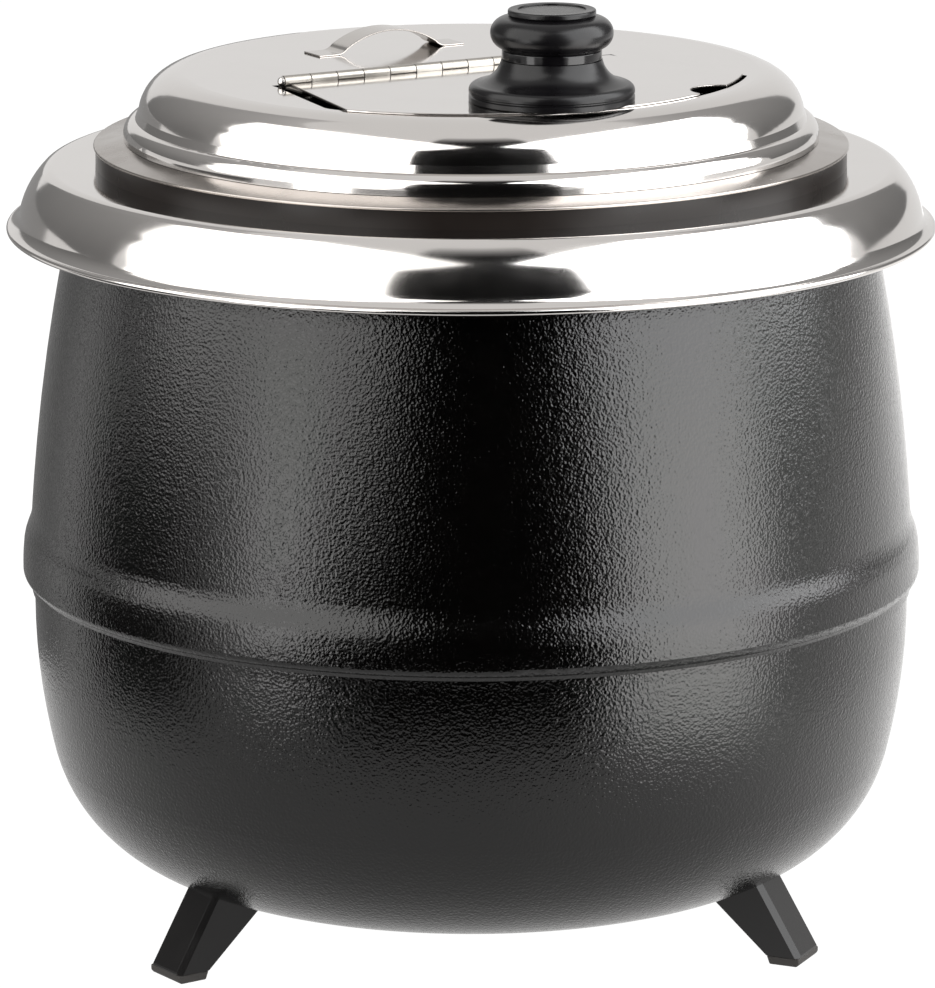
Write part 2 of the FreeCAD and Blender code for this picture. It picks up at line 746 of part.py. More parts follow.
def build_foot_screws():
    screws = []
    head_radius, head_height = 4.2, 3.0
    inside = S.bowl_corner - S.shell_steel
    run = S.foot_screw_place + head_radius - S.bowl_flat_radius
    seat = S.bowl_floor + S.bowl_corner - square_root(inside * inside - run * run)
    shank_bottom = S.pad_height + 13.8
    for label, turn in FEET.items():
        body = new_body(label + "_screw")
        section = Outline(0, shank_bottom).line(S.foot_screw_radius, shank_bottom)
        section.line(S.foot_screw_radius, seat).line(head_radius, seat)
        section.line(head_radius, seat + 0.6).dome(head_height - 0.6)
        revolve(body, section)
        spot_x = S.foot_screw_place * cosine(turn)
        spot_y = S.foot_screw_place * sine(turn)
        screws.append(place(body, spot_x, spot_y))
    group("foot_screws", screws)


# ---- heater stack, under the water pan ----------------------------------------------------------

def build_heater_stack():
    plate_top = S.pan_floor - S.sheet_steel
    plate_bottom = plate_top - S.heater_thickness
    clamp_top = plate_bottom - 2 * S.element_radius
    clamp_bottom = clamp_top - S.clamp_thickness
    clamp_nut_bottom = clamp_bottom - S.nut_height
    shield_bottom = clamp_nut_bottom - S.sheet_steel
    shield_nut_bottom = shield_bottom - S.nut_height
    hole = S.stud_radius + S.hole_gap

    stud = cylinder("pan_stud", S.stud_radius, plate_top - S.stud_bottom, z=S.stud_bottom)
    keep(stud, "pan_stud")

    plate = new_body("heater_plate")
    revolve(plate, disc(hole, S.heater_radius, plate_bottom, plate_top))
    keep(plate, "heater_plate")

    element = new_body("heating_element")
    level = plate_bottom - S.element_radius
    revolve(
        element,
        Circle(S.element_circle, level, S.element_radius),
        angle=FULL_TURN - S.element_gap,
    )
    place(element, rotation=Rotation(AXIS_Z, QUARTER + S.element_gap.value / 2))
    keep(element, "heating_element")

    caps = []
    for side in (-1, 1):
        turn = QUARTER - side * S.element_gap / 2
        lie_along = Rotation(AXIS_Z, turn.value).multiply(Rotation(Vector(1, 0, 0), -side * QUARTER))
        spot_x = S.element_circle * cosine(turn)
        spot_y = S.element_circle * sine(turn)
        caps.append(cylinder(f"terminal_{side + 2}", 3.2, 9, spot_x, spot_y, level, lie_along))
    group("element_terminals", caps)

    clamp = new_body("element_clamp")
    revolve(clamp, disc(hole, S.clamp_radius, clamp_bottom, clamp_top))
    cutout_hole = Circle(-S.cutout_place, 0, S.cutout_radius + 1)
    pocket(clamp, "XY_Plane", [cutout_hole], both_ways=True)
    keep(clamp, "element_clamp")

    shield = new_body("heat_shield")
    revolve(shield, disc(hole, S.shield_radius, shield_bottom, clamp_nut_bottom))
    keep(shield, "heat_shield")

    nuts = []
    for name, bottom in (("clamp_nut", clamp_nut_bottom), ("shield_nut", shield_nut_bottom)):
        body = new_body(name)
        outlines = [hexagon(S.nut_width), Circle(0, 0, S.stud_radius)]
        nuts.append(pad(body, "XY_Plane", outlines, S.nut_height, lift=bottom))
    group("stud_nuts", nuts)

    washer = new_body("base_washer")
    washer_bottom = S.bowl_floor - 1.2
    revolve(washer, disc(hole, 9, washer_bottom, S.bowl_floor))
    keep(washer, "base_washer")

    cap_nut = new_body("cap_nut")
    pad(cap_nut, "XY_Plane", [hexagon(S.nut_width)], S.nut_height, lift=washer_bottom - S.nut_height)
    dome = Outline(0, washer_bottom - 9.5)
    dome.arc(0, washer_bottom - S.nut_height, as_size(4.5), -90, 0)
    dome.line(0, washer_bottom - S.nut_height)
    revolve(cap_nut, dome)
    depth = washer_bottom - S.stud_bottom
    pocket(cap_nut, "XY_Plane", [Circle(0, 0, S.stud_radius)], depth, lift=washer_bottom)
    keep(cap_nut, "cap_nut")

    cutout = new_body("thermal_cutout")
    cutout_bottom = clamp_top - 3.0
    section = Outline(0, cutout_bottom).line(S.cutout_radius, cutout_bottom)
    section.line(S.cutout_radius, plate_bottom).line(0, plate_bottom)
    revolve(cutout, section)
    keep(place(cutout, x=-S.cutout_place), "thermal_cutout")


def build_sensor():
    """The thermostat's liquid-filled bulb under the heater plate, its clip and its capillary."""
    plate_bottom = S.pan_floor - S.sheet_steel - S.heater_thickness
    start = S.capillary_x - S.capillary_bend - 6
    bulb = cylinder("sensor_bulb", S.bulb_radius, 54, start - 54, S.bulb_y, S.bulb_level, ALONG_X)
    keep(bulb, "sensor_bulb")

    saddle_low = (start - 34, S.bulb_y - 6, S.bulb_level - 3.8)
    saddle_high = (start - 22, S.bulb_y + 6, plate_bottom)
    saddle = block("bulb_saddle", saddle_low, saddle_high)
    way = cylinder("bulb_way", S.bulb_radius, 20, start - 38, S.bulb_y, S.bulb_level, ALONG_X)
    mouth_low = (start - 38, S.bulb_y - S.bulb_radius, S.bulb_level)
    mouth_high = (start - 18, S.bulb_y + S.bulb_radius, plate_bottom + 2)
    mouth = block("bulb_mouth", mouth_low, mouth_high)
    keep(cut_from("bulb_clip", saddle, fused("bulb_passage", [way, mouth])), "bulb_clip")

    bend_x = S.capillary_x - S.capillary_bend
    bend_y = S.bulb_y + S.capillary_bend
    first_run = cylinder(
        "capillary_start", S.capillary_radius, bend_x - start, start, S.bulb_y, S.bulb_level, ALONG_X
    )
    bend = doc.addObject("Part::Torus", "capillary_bend")
    bend.setExpression("Radius1", S.capillary_bend.formula)
    bend.setExpression("Radius2", S.capillary_radius.formula)
    bend.Angle3 = QUARTER
    place(bend, bend_x, bend_y, S.bulb_level, Rotation(AXIS_Z, -QUARTER))
    run_length = S.thermostat_back - bend_y
    last_run = cylinder(
        "capillary_end", S.capillary_radius, run_length, S.capillary_x, bend_y, S.bulb_level, ALONG_Y
    )
    keep(fused("capillary", [first_run, bend, last_run]), "capillary")


# ---- controls in the rear wall --------------------------------------------------------------------

def build_control_bezel():
    body = new_body("control_bezel")
    face = rounded_rectangle(
        -S.panel_half_width, S.panel_bottom, S.panel_half_width, S.panel_top, S.panel_corner
    )
    depth = 27.0
    pad(body, "XZ_Plane", [face], depth, lift=-S.panel_face)
    hollow = rounded_rectangle(
        -S.window_half_width, S.window_bottom, S.window_half_width, S.window_top, as_size(4)
    )
    inner_face = S.panel_face - S.panel_wall
    pocket(body, "XZ_Plane", [hollow], depth, lift=-inner_face, backwards=True)
    bowl = Outline(0, S.bowl_floor)
    bowl_section_outside(bowl)
    bowl.line(0, S.rim_level)
    groove(body, bowl)
    holes = [Circle(x, z, 1.6) for x, z in panel_screw_places()]
    holes.append(Circle(S.dial_x, S.control_level, S.bush_radius + 0.1))
    holes.append(Circle(S.lamp_x, S.control_level, S.lamp_radius + 0.1))
    holes.append(Circle(S.gland_x, S.control_level, S.gland_thread + 0.1))
    pocket(body, "XZ_Plane", holes)
    keep(body, "control_bezel")


def control_piece(label, x, *outlines):
    """A turned piece whose axis points out of the bezel; its height is the distance from the axis."""
    body = new_body(label)
    revolve(body, *outlines)
    place(body, x, 0, S.control_level, ALONG_Y)
    return keep(body, label)


def build_panel_screws():
    screws = []
    length = 26.0
    for number, (x, z) in enumerate(panel_screw_places(), start=1):
        body = new_body(f"panel_screw_{number}")
        start = S.panel_face - length
        section = Outline(0, start).line(1.5, start).line(1.5, S.panel_face)
        section.line(3.0, S.panel_face).line(3.0, S.panel_face + 0.6).dome(1.4)
        revolve(body, section)
        screws.append(place(body, x, 0, z, ALONG_Y))
    group("panel_screws", screws)


def build_thermostat():
    case_low = (
        S.dial_x - S.thermostat_half_width,
        S.thermostat_back,
        S.control_level - S.thermostat_half_height,
    )
    case_high = (
        S.dial_x + S.thermostat_half_width,
        S.thermostat_front,
        S.control_level + S.thermostat_half_height,
    )
    case = block("thermostat_case", case_low, case_high)
    bush = cylinder(
        "thermostat_bush",
        S.bush_radius,
        S.bush_end - S.thermostat_front,
        S.dial_x,
        S.thermostat_front,
        S.control_level,
        ALONG_Y,
    )
    bore_start = S.thermostat_front - 6
    bore = cylinder(
        "thermostat_bore",
        S.shaft_radius + S.running_gap,
        S.bush_end - bore_start + 1,
        S.dial_x,
        bore_start,
        S.control_level,
        ALONG_Y,
    )
    housing = fused("thermostat_housing", [case, bush])
    keep(cut_from("thermostat_body", housing, bore), "thermostat_body")
    dial_floor = S.dial_end - 3.5
    control_piece("thermostat_shaft", S.dial_x, disc(0, S.shaft_radius, bore_start, dial_floor))


def build_dial():
    scale_end = S.panel_face + 0.6
    bush_hole = S.bush_radius + 0.1
    control_piece(
        "scale_plate", S.dial_x, disc(bush_hole, S.scale_radius, S.panel_face, scale_end)
    )
    nut = new_body("thermostat_nut")
    outlines = [hexagon(as_size(14)), Circle(0, 0, S.bush_radius)]
    pad(nut, "XY_Plane", outlines, 2.2, lift=scale_end)
    keep(place(nut, S.dial_x, 0, S.control_level, ALONG_Y), "thermostat_nut")

    dial = new_body("dial_knob")
    start = scale_end + 0.6
    recess_end = S.bush_end + 0.6
    shaft_end = S.dial_end - 3.5
    body_end = S.dial_end - 3.0
    section = Outline(9.0, start).line(S.dial_radius, start).line(S.dial_radius - 1.0, body_end - 0.8)
    section.curve(S.dial_radius - 1.3, body_end - 0.2, S.dial_radius - 2.0, body_end)
    section.line(0, body_end).line(0, shaft_end).line(S.shaft_radius, shaft_end)
    section.line(S.shaft_radius, recess_end).line(9.0, recess_end)
    revolve(dial, section)
    bar = rounded_rectangle(
        as_size(-2.6), -S.dial_radius + 1.8, as_size(2.6), S.dial_radius - 1.8, as_size(2.0)
    )
    pad(dial, "XY_Plane", [bar], S.dial_end - body_end, lift=body_end)
    keep(place(dial, S.dial_x, 0, S.control_level, ALONG_Y), "dial_knob")

    pointer = new_body("dial_pointer")
    mark = rounded_rectangle(
        as_size(-0.7), -S.dial_radius + 0.9, as_size(0.7), -S.dial_radius + 1.8, as_size(0.3)
    )
    pad(pointer, "XY_Plane", [mark], 2.0, lift=body_end)
    keep(place(pointer, S.dial_x, 0, S.control_level, ALONG_Y), "dial_pointer")


def build_lamp_and_gland():
    face = S.panel_face
    control_piece("lamp_body", S.lamp_x, disc(0, S.lamp_radius, face - 18, face))
    lens = Outline(0, face).line(6.6, face).line(6.6, face + 1.2).line(5.4, face + 1.6).dome(3.2)
    control_piece("lamp_lens", S.lamp_x, lens)

    bore = S.gland_bore
    section = Outline(bore, S.gland_inner_end).line(S.gland_thread, S.gland_inner_end)
    section.line(S.gland_thread, face).line(10.5, face).line(10.5, face + 3.0)
    section.line(8.6, face + 3.4).line(8.2, S.gland_end - 3.0)
    section.curve(7.6, S.gland_end - 0.9, 5.6, S.gland_end).line(bore, S.gland_end)
    control_piece("cable_gland", S.gland_x, section)

    nut = new_body("gland_nut")
    outlines = [hexagon(as_size(19)), Circle(0, 0, S.gland_thread)]
    nut_end = face - S.panel_wall
    pad(nut, "XY_Plane", outlines, 5.0, lift=nut_end - 5.0)
    keep(place(nut, S.gland_x, 0, S.control_level, ALONG_Y), "gland_nut")


def build_terminal_block():
    """A ceramic block on the bowl's floor where the mains lead meets the heater's wires."""
    floor = S.bowl_floor + S.shell_steel
    base = block("terminal_base", (-46, 60, floor), (-22, 86, floor + 8))
    posts = [
        block(f"terminal_post_{n}", (-45 + 8 * n, 62, floor + 7), (-39 + 8 * n, 84, floor + 13))
        for n in range(3)
    ]
    keep(fused("terminal_block", [base] + posts), "terminal_block")


# ---- rim ring, collar and pot ---------------------------------------------------------------------

def build_rim_ring():
    body = new_body("rim_ring")
    wall = S.sheet_steel
    bore, top, flat = S.ring_bore, S.ring_top, S.ring_flat_radius
    shoulder_turn, crown_turn, flare_turn = 45, 12, 250
    shoulder_y = top - S.ring_shoulder
    step = S.ring_shoulder - S.ring_crown
    crown_x = flat + step * cosine(shoulder_turn)
    crown_y = shoulder_y + step * sine(shoulder_turn)
    reach = S.ring_crown + S.ring_flare
    flare_x = crown_x + reach * cosine(crown_turn)
    flare_y = crown_y + reach * sine(crown_turn)
    flare_end_y = flare_y + S.ring_flare * sine(flare_turn)
    lip_y = flare_end_y - S.ring_lip
    lip_x = S.ring_radius - S.ring_lip
    edge_x = bore + S.ring_edge
    edge_y = top - S.ring_edge
    foot = S.shell_top + wall
    outline = Outline(bore, foot)
    outline.arc(edge_x, edge_y, S.ring_edge, 180, 90)
    outline.arc(flat, shoulder_y, S.ring_shoulder, 90, shoulder_turn)
    outline.arc(crown_x, crown_y, S.ring_crown, shoulder_turn, crown_turn)
    outline.arc(flare_x, flare_y, S.ring_flare, 180 + crown_turn, flare_turn)
    outline.arc(lip_x, lip_y, S.ring_lip, 85, -90)
    outline.line(lip_x - 1.6, lip_y - S.ring_lip)
    outline.arc(flare_x, flare_y, S.ring_flare + wall, 235, 180 + crown_turn)
    outline.arc(crown_x, crown_y, S.ring_crown - wall, crown_turn, shoulder_turn)
    outline.arc(flat, shoulder_y, S.ring_shoulder - wall, shoulder_turn, 90)
    outline.arc(edge_x, edge_y, S.ring_edge - wall, 90, 180)
    outline.line(bore + wall, foot)
    revolve(body, outline)
    keep(body, "rim_ring")


def build_seat_collar():
    body = new_body("seat_collar")
    spigot = S.ring_bore - 0.2
    head_top = S.ring_top + S.collar_height
    outline = Outline(S.collar_bore + 2, S.ring_top - S.collar_spigot)
    outline.line(spigot, S.ring_top - S.collar_spigot).line(spigot, S.ring_top)
    outline.line(S.collar_radius, S.ring_top).line(S.collar_radius, head_top)
    outline.line(S.collar_bore, head_top).line(S.collar_bore, S.ring_top)
    outline.line(S.collar_bore + 2, S.ring_top - 2)
    revolve(body, outline)
    keep(body, "seat_collar")


def build_soup_pot():
    body = new_body("soup_pot")
    wall = S.sheet_steel
    inner, outer = S.pot_radius, S.pot_radius + wall
    seat = S.ring_top + S.collar_height
    rim = S.pot_flange_radius
    crown, crown_x = S.pot_crown, S.pot_crown_radius
    corner_x = inner - S.pot_corner
    corner_y = S.pot_floor + S.pot_corner
    outline = Outline(0, S.pot_floor - wall)
    outline.arc(corner_x, corner_y, S.pot_corner + wall, -90, 0)
    outline.line(outer, crown - 4.6)
    outline.curve(outer + 1.1, crown - 2.0, crown_x, crown - wall)
    outline.line(rim - 2.2, seat + 0.6).line(rim - 2.2, seat).line(rim - 0.6, seat)
    outline.curve(rim - 0.05, seat + 0.65, rim - 0.6, seat + 1.3)
    outline.line(crown_x, crown)
    outline.curve(inner + 1.2, crown - 1.5, inner, crown - 4.6)
    outline.arc(corner_x, corner_y, S.pot_corner, 0, -90)
    outline.line(0, S.pot_floor)
    revolve(body, outline)
    keep(body, "soup_pot")


# ---- lid --------------------------------------------------------------------------------------------

def lid_section():
    wall = S.sheet_steel
    shoulder_y = S.lid_top - S.lid_shoulder
    bead_x = S.lid_radius - S.lid_bead
    edge = S.pot_crown
    outline = Outline(0, S.lid_top - wall).line(0, S.lid_top)
    outline.arc(S.lid_flat_radius, shoulder_y, S.lid_shoulder, 90, 8)
    outline.arc(bead_x, S.lid_bead_level, S.lid_bead, 78, 0)
    outline.line(S.lid_radius, edge).line(S.lid_radius - wall, edge)
    outline.arc(bead_x, S.lid_bead_level, S.lid_bead - wall, 0, 78)
    outline.arc(S.lid_flat_radius, shoulder_y, S.lid_shoulder - wall, 6, 90)
    return outline


def serving_hole():
    """The hole under the flap, with the slot for the hinge barrel along its rear edge."""
    slot = S.slot_half_width
    left, right = S.hinge_start - 3.2, 61
    round_start, round_end = 213.9, 321.0
    outline = Outline(right, slot).line(left, slot).line(left, -slot)
    outline.curve(-84.6, -26, -87.2, -46)
    outline.curve(-86.8, -52.5, S.hole_radius * cosine(round_start), S.hole_radius * sine(round_start))
    outline.arc(as_size(0), as_size(0), S.hole_radius, round_start, round_end)
    return outline.line(right, -slot - 2)


def build_lid_shell():
    body = new_body("lid_shell")
    revolve(body, lid_section())
    pocket(body, "XY_Plane", [serving_hole()], both_ways=True)
    keep(place_on_lid(body), "lid_shell")


def build_flap():
    body = new_body("flap_plate")
    wall = S.sheet_steel
    start = -S.slot_half_width
    centre_x, centre_y = -2.6, -0.2
    left_turn, right_turn = 216.0, 321.4
    outline = Outline(57.5, start).line(S.hinge_start + 2, start).line(-83.3, -50)
    outline.arc(as_size(centre_x), as_size(centre_y), S.flap_radius, left_turn, right_turn)
    pad(body, "XY_Plane", [outline], wall, lift=S.lid_top)
    notch = Circle(
        S.notch_offset * cosine(S.notch_turn), S.notch_offset * sine(S.notch_turn), S.notch_radius
    )
    screw_hole = Circle(S.knob_x, S.knob_y, S.knob_screw_radius + 0.2)
    pocket(body, "XY_Plane", [notch, screw_hole], both_ways=True)
    keep(place_on_lid(body), "flap_plate")


def build_hinge_leaf(label, side, leaf_bottom, bore, first_knuckle):
    """One leaf of the piano hinge; side is -1 towards the flap and 1 towards the fixed lid."""
    wall = S.sheet_steel
    near, far = sorted((side * S.leaf_start, side * S.leaf_width), key=lambda size: size.value)
    strip_low = (S.hinge_start, near, leaf_bottom)
    strip_high = (S.hinge_start + KNUCKLES * S.hinge_pitch, far, leaf_bottom + wall)
    pieces = [block(label + "_strip", strip_low, strip_high)]
    for number in range(first_knuckle, KNUCKLES, 2):
        start = S.hinge_start + number * S.hinge_pitch + S.knuckle_gap / 2
        length = S.hinge_pitch - S.knuckle_gap
        web_near = side * (S.barrel_radius - wall)
        web_low_y, web_high_y = sorted(
            (web_near, side * S.leaf_start), key=lambda size: size.value
        )
        low = (start, web_low_y, leaf_bottom)
        high = (start + length, web_high_y, leaf_bottom + wall)
        foot = block(f"{label}_foot_{number}", low, high)
        riser_low_y, riser_high_y = sorted(
            (web_near, side * S.barrel_radius), key=lambda size: size.value
        )
        low = (start, riser_low_y, leaf_bottom)
        high = (start + length, riser_high_y, S.hinge_level)
        riser = block(f"{label}_riser_{number}", low, high)
        barrel = cylinder(
            f"{label}_barrel_{number}", S.barrel_radius, length, start, 0, S.hinge_level, ALONG_X
        )
        pieces += [foot, riser, barrel]
    way_length = KNUCKLES * S.hinge_pitch + 4
    way = cylinder(label + "_way", bore, way_length, S.hinge_start - 2, 0, S.hinge_level, ALONG_X)
    leaf = cut_from(label, fused(label + "_solid", pieces), way)
    keep(place_on_lid(leaf), label)


def build_hinge():
    wall = S.sheet_steel
    build_hinge_leaf("lid_hinge_leaf", 1, S.lid_top - 2 * wall, S.pin_radius, 0)
    build_hinge_leaf("flap_hinge_leaf", -1, S.lid_top - wall, S.pin_radius + S.running_gap, 1)
    length = KNUCKLES * S.hinge_pitch
    head, rivet = S.pin_head_radius, 0.2
    section = Outline(0, -1.9).dome_from_axis(head, -rivet)
    section.line(S.pin_radius, -rivet).line(S.pin_radius, length + rivet)
    section.line(head, length + rivet).dome(1.9 - rivet)
    body = new_body("hinge_pin")
    revolve(body, section)
    keep(place_on_lid(body, S.hinge_start, 0, S.hinge_level, ALONG_X), "hinge_pin")


def build_strap_handle():
    body = new_body("strap_handle")
    steel, rise, half = S.strap_steel, S.strap_rise, S.strap_half_length
    outline = Outline(-half, 0).line(-half, steel).line(7.8 - half, steel)
    outline.curve(9.95 - half, 1.14, 11.75 - half, 2.5).curve(0, rise, half - 11.75, 2.5)
    outline.curve(half - 9.95, 1.14, half - 7.8, steel).line(half, steel).line(half, 0)
    outline.line(half - 7.8, 0).curve(half - 10.2, 0.6, half - 12.2, 2.1)
    outline.curve(0, rise - steel, 12.2 - half, 2.1).curve(10.2 - half, 0.6, 7.8 - half, 0)
    pad(body, "XZ_Plane", [outline], S.strap_width)
    rear = S.strap_front_y + S.strap_width
    keep(place_on_lid(body, S.strap_centre_x, rear, S.lid_top), "strap_handle")


# ---- knob on the flap ---------------------------------------------------------------------------------

def knob_piece(label, *outlines):
    """A turned piece on the knob's axis; heights are measured from the flap's top face."""
    body = new_body(label)
    revolve(body, *outlines)
    place_on_lid(body, S.knob_x, S.knob_y, S.lid_top + S.sheet_steel)
    return keep(body, label)


def build_knob():
    hole = S.knob_screw_radius + 0.2
    foot, neck, bulb, cap = (
        S.knob_base_radius,
        S.knob_neck_radius,
        S.knob_bulb_radius,
        S.knob_cap_radius,
    )
    base = Outline(hole, 0).line(foot - 0.4, 0).line(foot, 0.4).line(foot, 2.0)
    base.line(foot - 0.5, 2.4).line(foot - 0.5, 2.8).line(foot, 3.2).line(foot, 4.0)
    base.curve(foot - 0.9, 5.8, foot - 2.5, 6.4).line(foot - 5.4, 7.4)
    base.curve(neck + 2.0, 10.8, neck + 0.2, 14.9).line(hole, 14.9)
    knob_piece("knob_base", base)

    ring = Outline(hole, 14.9).line(neck - 0.3, 14.9).line(neck, 15.3).line(neck, 17.9)
    ring.line(neck - 0.4, 18.3).line(hole, 18.3)
    knob_piece("knob_neck", ring)

    insert = S.knob_insert_radius
    grip = Outline(insert, 18.3).line(neck - 0.6, 18.3).line(neck + 0.4, 18.9)
    grip.curve(bulb, 24.2, cap + 1.2, 29.8).line(cap - 0.4, 30.4)
    grip.line(0, 30.4).line(0, 29.0).line(insert, 29.0)
    knob_piece("knob_grip", grip)

    disc_top = Outline(0, 30.4).line(cap - 0.4, 30.4).line(cap, 30.9).line(cap, 32.0)
    disc_top.curve(cap - 0.3, 32.5, cap - 0.9, 32.6).line(cap - 3.2, 32.6)
    disc_top.line(cap - 3.6, 32.1).line(0, 32.1)
    knob_piece("knob_cap", disc_top)

    knob_piece("knob_insert", disc(S.knob_screw_radius, insert, as_size(18.3), as_size(29.0)))

    washer_top = -S.sheet_steel
    washer_bottom = washer_top - 1.0
    knob_piece("knob_washer", disc(hole, 6.0, washer_bottom, washer_top))
    screw = Outline(0, washer_bottom - 2.6).dome_from_axis(4.5, washer_bottom - 0.8)
    screw.line(4.5, washer_bottom)
    screw.line(S.knob_screw_radius, washer_bottom).line(S.knob_screw_radius, 27.0).line(0, 27.0)
    knob_piece("knob_screw", screw)


def build_all():
    build_lower_bowl()
    build_upper_shell()
    build_water_pan()
    build_insulation()
    for label, turn in FEET.items():
        build_foot(label, turn)
    build_foot_pads()
    build_foot_screws()
    build_heater_stack()
    build_sensor()
    build_control_bezel()
    build_panel_screws()
    build_thermostat()
    build_dial()
    build_lamp_and_gland()
    build_terminal_block()
    build_rim_ring()
    build_seat_collar()
    build_soup_pot()
    build_lid_shell()
    build_flap()
    build_hinge()
    build_strap_handle()
    build_knob()


def check_and_write():
    """Stops on any failed object or bad shape, then writes each sub-part to its own file."""
    doc.recompute()
    for thing in doc.Objects:
        if "Invalid" in thing.State or "Error" in thing.State:
            raise RuntimeError(f"{thing.Label} did not compute")
    os.makedirs("parts", exist_ok=True)
    for thing in sub_parts:
        shape = thing.Shape
        if shape.isNull() or not shape.isValid() or not shape.Solids:
            raise RuntimeError(f"{thing.Label} has no valid shape")
        shape.exportStep(f"parts/{thing.Label}.step")
        print(f"{thing.Label}: {len(shape.Solids)} solid(s), {shape.Volume / 1000:.2f} cm3")


build_all()
check_and_write()
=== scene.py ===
"""The looks of a soup kettle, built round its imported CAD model.

Lengths are in metres, except in a Contour and in names that end in _mm.
"""
import json
import math
from typing import NamedTuple

import bmesh
import bpy
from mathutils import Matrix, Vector

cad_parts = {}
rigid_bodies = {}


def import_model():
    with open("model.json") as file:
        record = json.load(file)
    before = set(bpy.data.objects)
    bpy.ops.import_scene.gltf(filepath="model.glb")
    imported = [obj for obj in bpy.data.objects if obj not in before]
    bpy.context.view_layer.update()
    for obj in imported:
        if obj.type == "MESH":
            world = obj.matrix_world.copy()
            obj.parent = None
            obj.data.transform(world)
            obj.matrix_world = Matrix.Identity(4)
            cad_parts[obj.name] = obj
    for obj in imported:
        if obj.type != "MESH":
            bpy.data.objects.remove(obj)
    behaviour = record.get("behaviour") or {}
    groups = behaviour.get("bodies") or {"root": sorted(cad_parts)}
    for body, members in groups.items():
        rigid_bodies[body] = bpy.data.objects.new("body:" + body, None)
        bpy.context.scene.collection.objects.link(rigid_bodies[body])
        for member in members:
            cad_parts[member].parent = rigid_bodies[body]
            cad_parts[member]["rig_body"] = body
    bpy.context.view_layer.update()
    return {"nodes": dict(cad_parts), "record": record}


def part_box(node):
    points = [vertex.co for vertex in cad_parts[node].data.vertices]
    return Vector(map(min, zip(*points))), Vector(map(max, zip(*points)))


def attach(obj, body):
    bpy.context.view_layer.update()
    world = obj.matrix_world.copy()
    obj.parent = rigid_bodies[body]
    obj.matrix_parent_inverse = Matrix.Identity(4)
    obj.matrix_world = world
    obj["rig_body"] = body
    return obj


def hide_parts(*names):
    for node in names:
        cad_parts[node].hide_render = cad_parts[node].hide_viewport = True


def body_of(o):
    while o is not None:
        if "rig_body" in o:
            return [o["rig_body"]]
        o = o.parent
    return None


MM = 0.001


# ---- node helpers -------------------------------------------------------------------------------

def shader_material(name):
    """A new material with its node tree and its main shader."""
    made = bpy.data.materials.new(name)
    made.use_nodes = True
    return made, made.node_tree, made.node_tree.nodes["Principled BSDF"]


def node(tree, kind, inputs=None, **settings):
    """A node whose inputs are set to values or linked to other nodes' outputs."""
    made = tree.nodes.new(kind)
    for key, value in settings.items():
        setattr(made, key, value)
    for key, value in (inputs or {}).items():
        if isinstance(value, bpy.types.NodeSocket):
            tree.links.new(value, made.inputs[key])
        else:
            made.inputs[key].default_value = value
    return made


def connect(tree, shader, **sockets):
    """Sets or links the shader's inputs; an underscore in a name stands for a space."""
    for key, value in sockets.items():
        socket = shader.inputs[key.replace("_", " ")]
        if isinstance(value, bpy.types.NodeSocket):
            tree.links.new(value, socket)
        else:
            socket.default_value = value


def place_on_piece(tree, stretch=(1.0, 1.0, 1.0)):
    """A pattern's position, fixed to the piece, with each direction stretched."""
    position = node(tree, "ShaderNodeTexCoord").outputs["Object"]
    if stretch == (1.0, 1.0, 1.0):
        return position
    return node(tree, "ShaderNodeMapping", {"Vector": position, "Scale": stretch}).outputs["Vector"]


def noise(tree, position, scale, detail=2.0, rough=0.5):
    """A soft random pattern, with this many features to the metre."""
    inputs = {"Vector": position, "Scale": scale, "Detail": detail, "Roughness": rough}
    return node(tree, "ShaderNodeTexNoise", inputs).outputs["Fac"]


def between(tree, value, low, high, from_low=0.0, from_high=1.0):
    """Maps a pattern's range onto low..high."""
    inputs = {"Value": value, 1: from_low, 2: from_high, 3: low, 4: high}
    return node(tree, "ShaderNodeMapRange", inputs).outputs["Result"]


def maths(tree, operation, first, second=0.0):
    """The result of one sum on two patterns or numbers."""
    return node(tree, "ShaderNodeMath", {0: first, 1: second}, operation=operation).outputs[0]


def blend_colours(tree, share, first, second):
    """A colour that goes from the first to the second as the share goes from 0 to 1."""
    inputs = {"Factor": share, 6: (*first, 1.0), 7: (*second, 1.0)}
    return node(tree, "ShaderNodeMix", inputs, data_type="RGBA").outputs[2]


def relief(tree, height, depth, strength=1.0, below=None):
    """A bump of this depth, laid over another one if it is given."""
    inputs = {"Height": height, "Distance": depth, "Strength": strength}
    if below is not None:
        inputs["Normal"] = below
    return node(tree, "ShaderNodeBump", inputs).outputs["Normal"]


# ---- materials ------------------------------------------------------------------------------------

def powder_coat():
    """Black powder coat with a pebbled, satin surface."""
    made, tree, shader = shader_material("powder_coat")
    here = place_on_piece(tree)
    bent = noise(tree, here, 1250.0, 1.0, 0.5)
    inputs = {"Vector": here, "Scale": 860.0, "Randomness": 1.0, "Smoothness": 0.55}
    pebbles = node(tree, "ShaderNodeTexVoronoi", inputs, feature="SMOOTH_F1").outputs["Distance"]
    height = maths(tree, "ADD", pebbles, maths(tree, "MULTIPLY", bent, 1.1))
    mottle = noise(tree, here, 90.0, 3.0)
    connect(
        tree,
        shader,
        Base_Color=blend_colours(tree, mottle, (0.0002, 0.0002, 0.0002), (0.0008, 0.0006, 0.0005)),
        Roughness=between(tree, noise(tree, here, 260.0, 3.0), 0.1, 0.15, 0.3, 0.7),
        Normal=relief(tree, height, 0.00012, 1.0),
        IOR=1.48,
    )
    return made


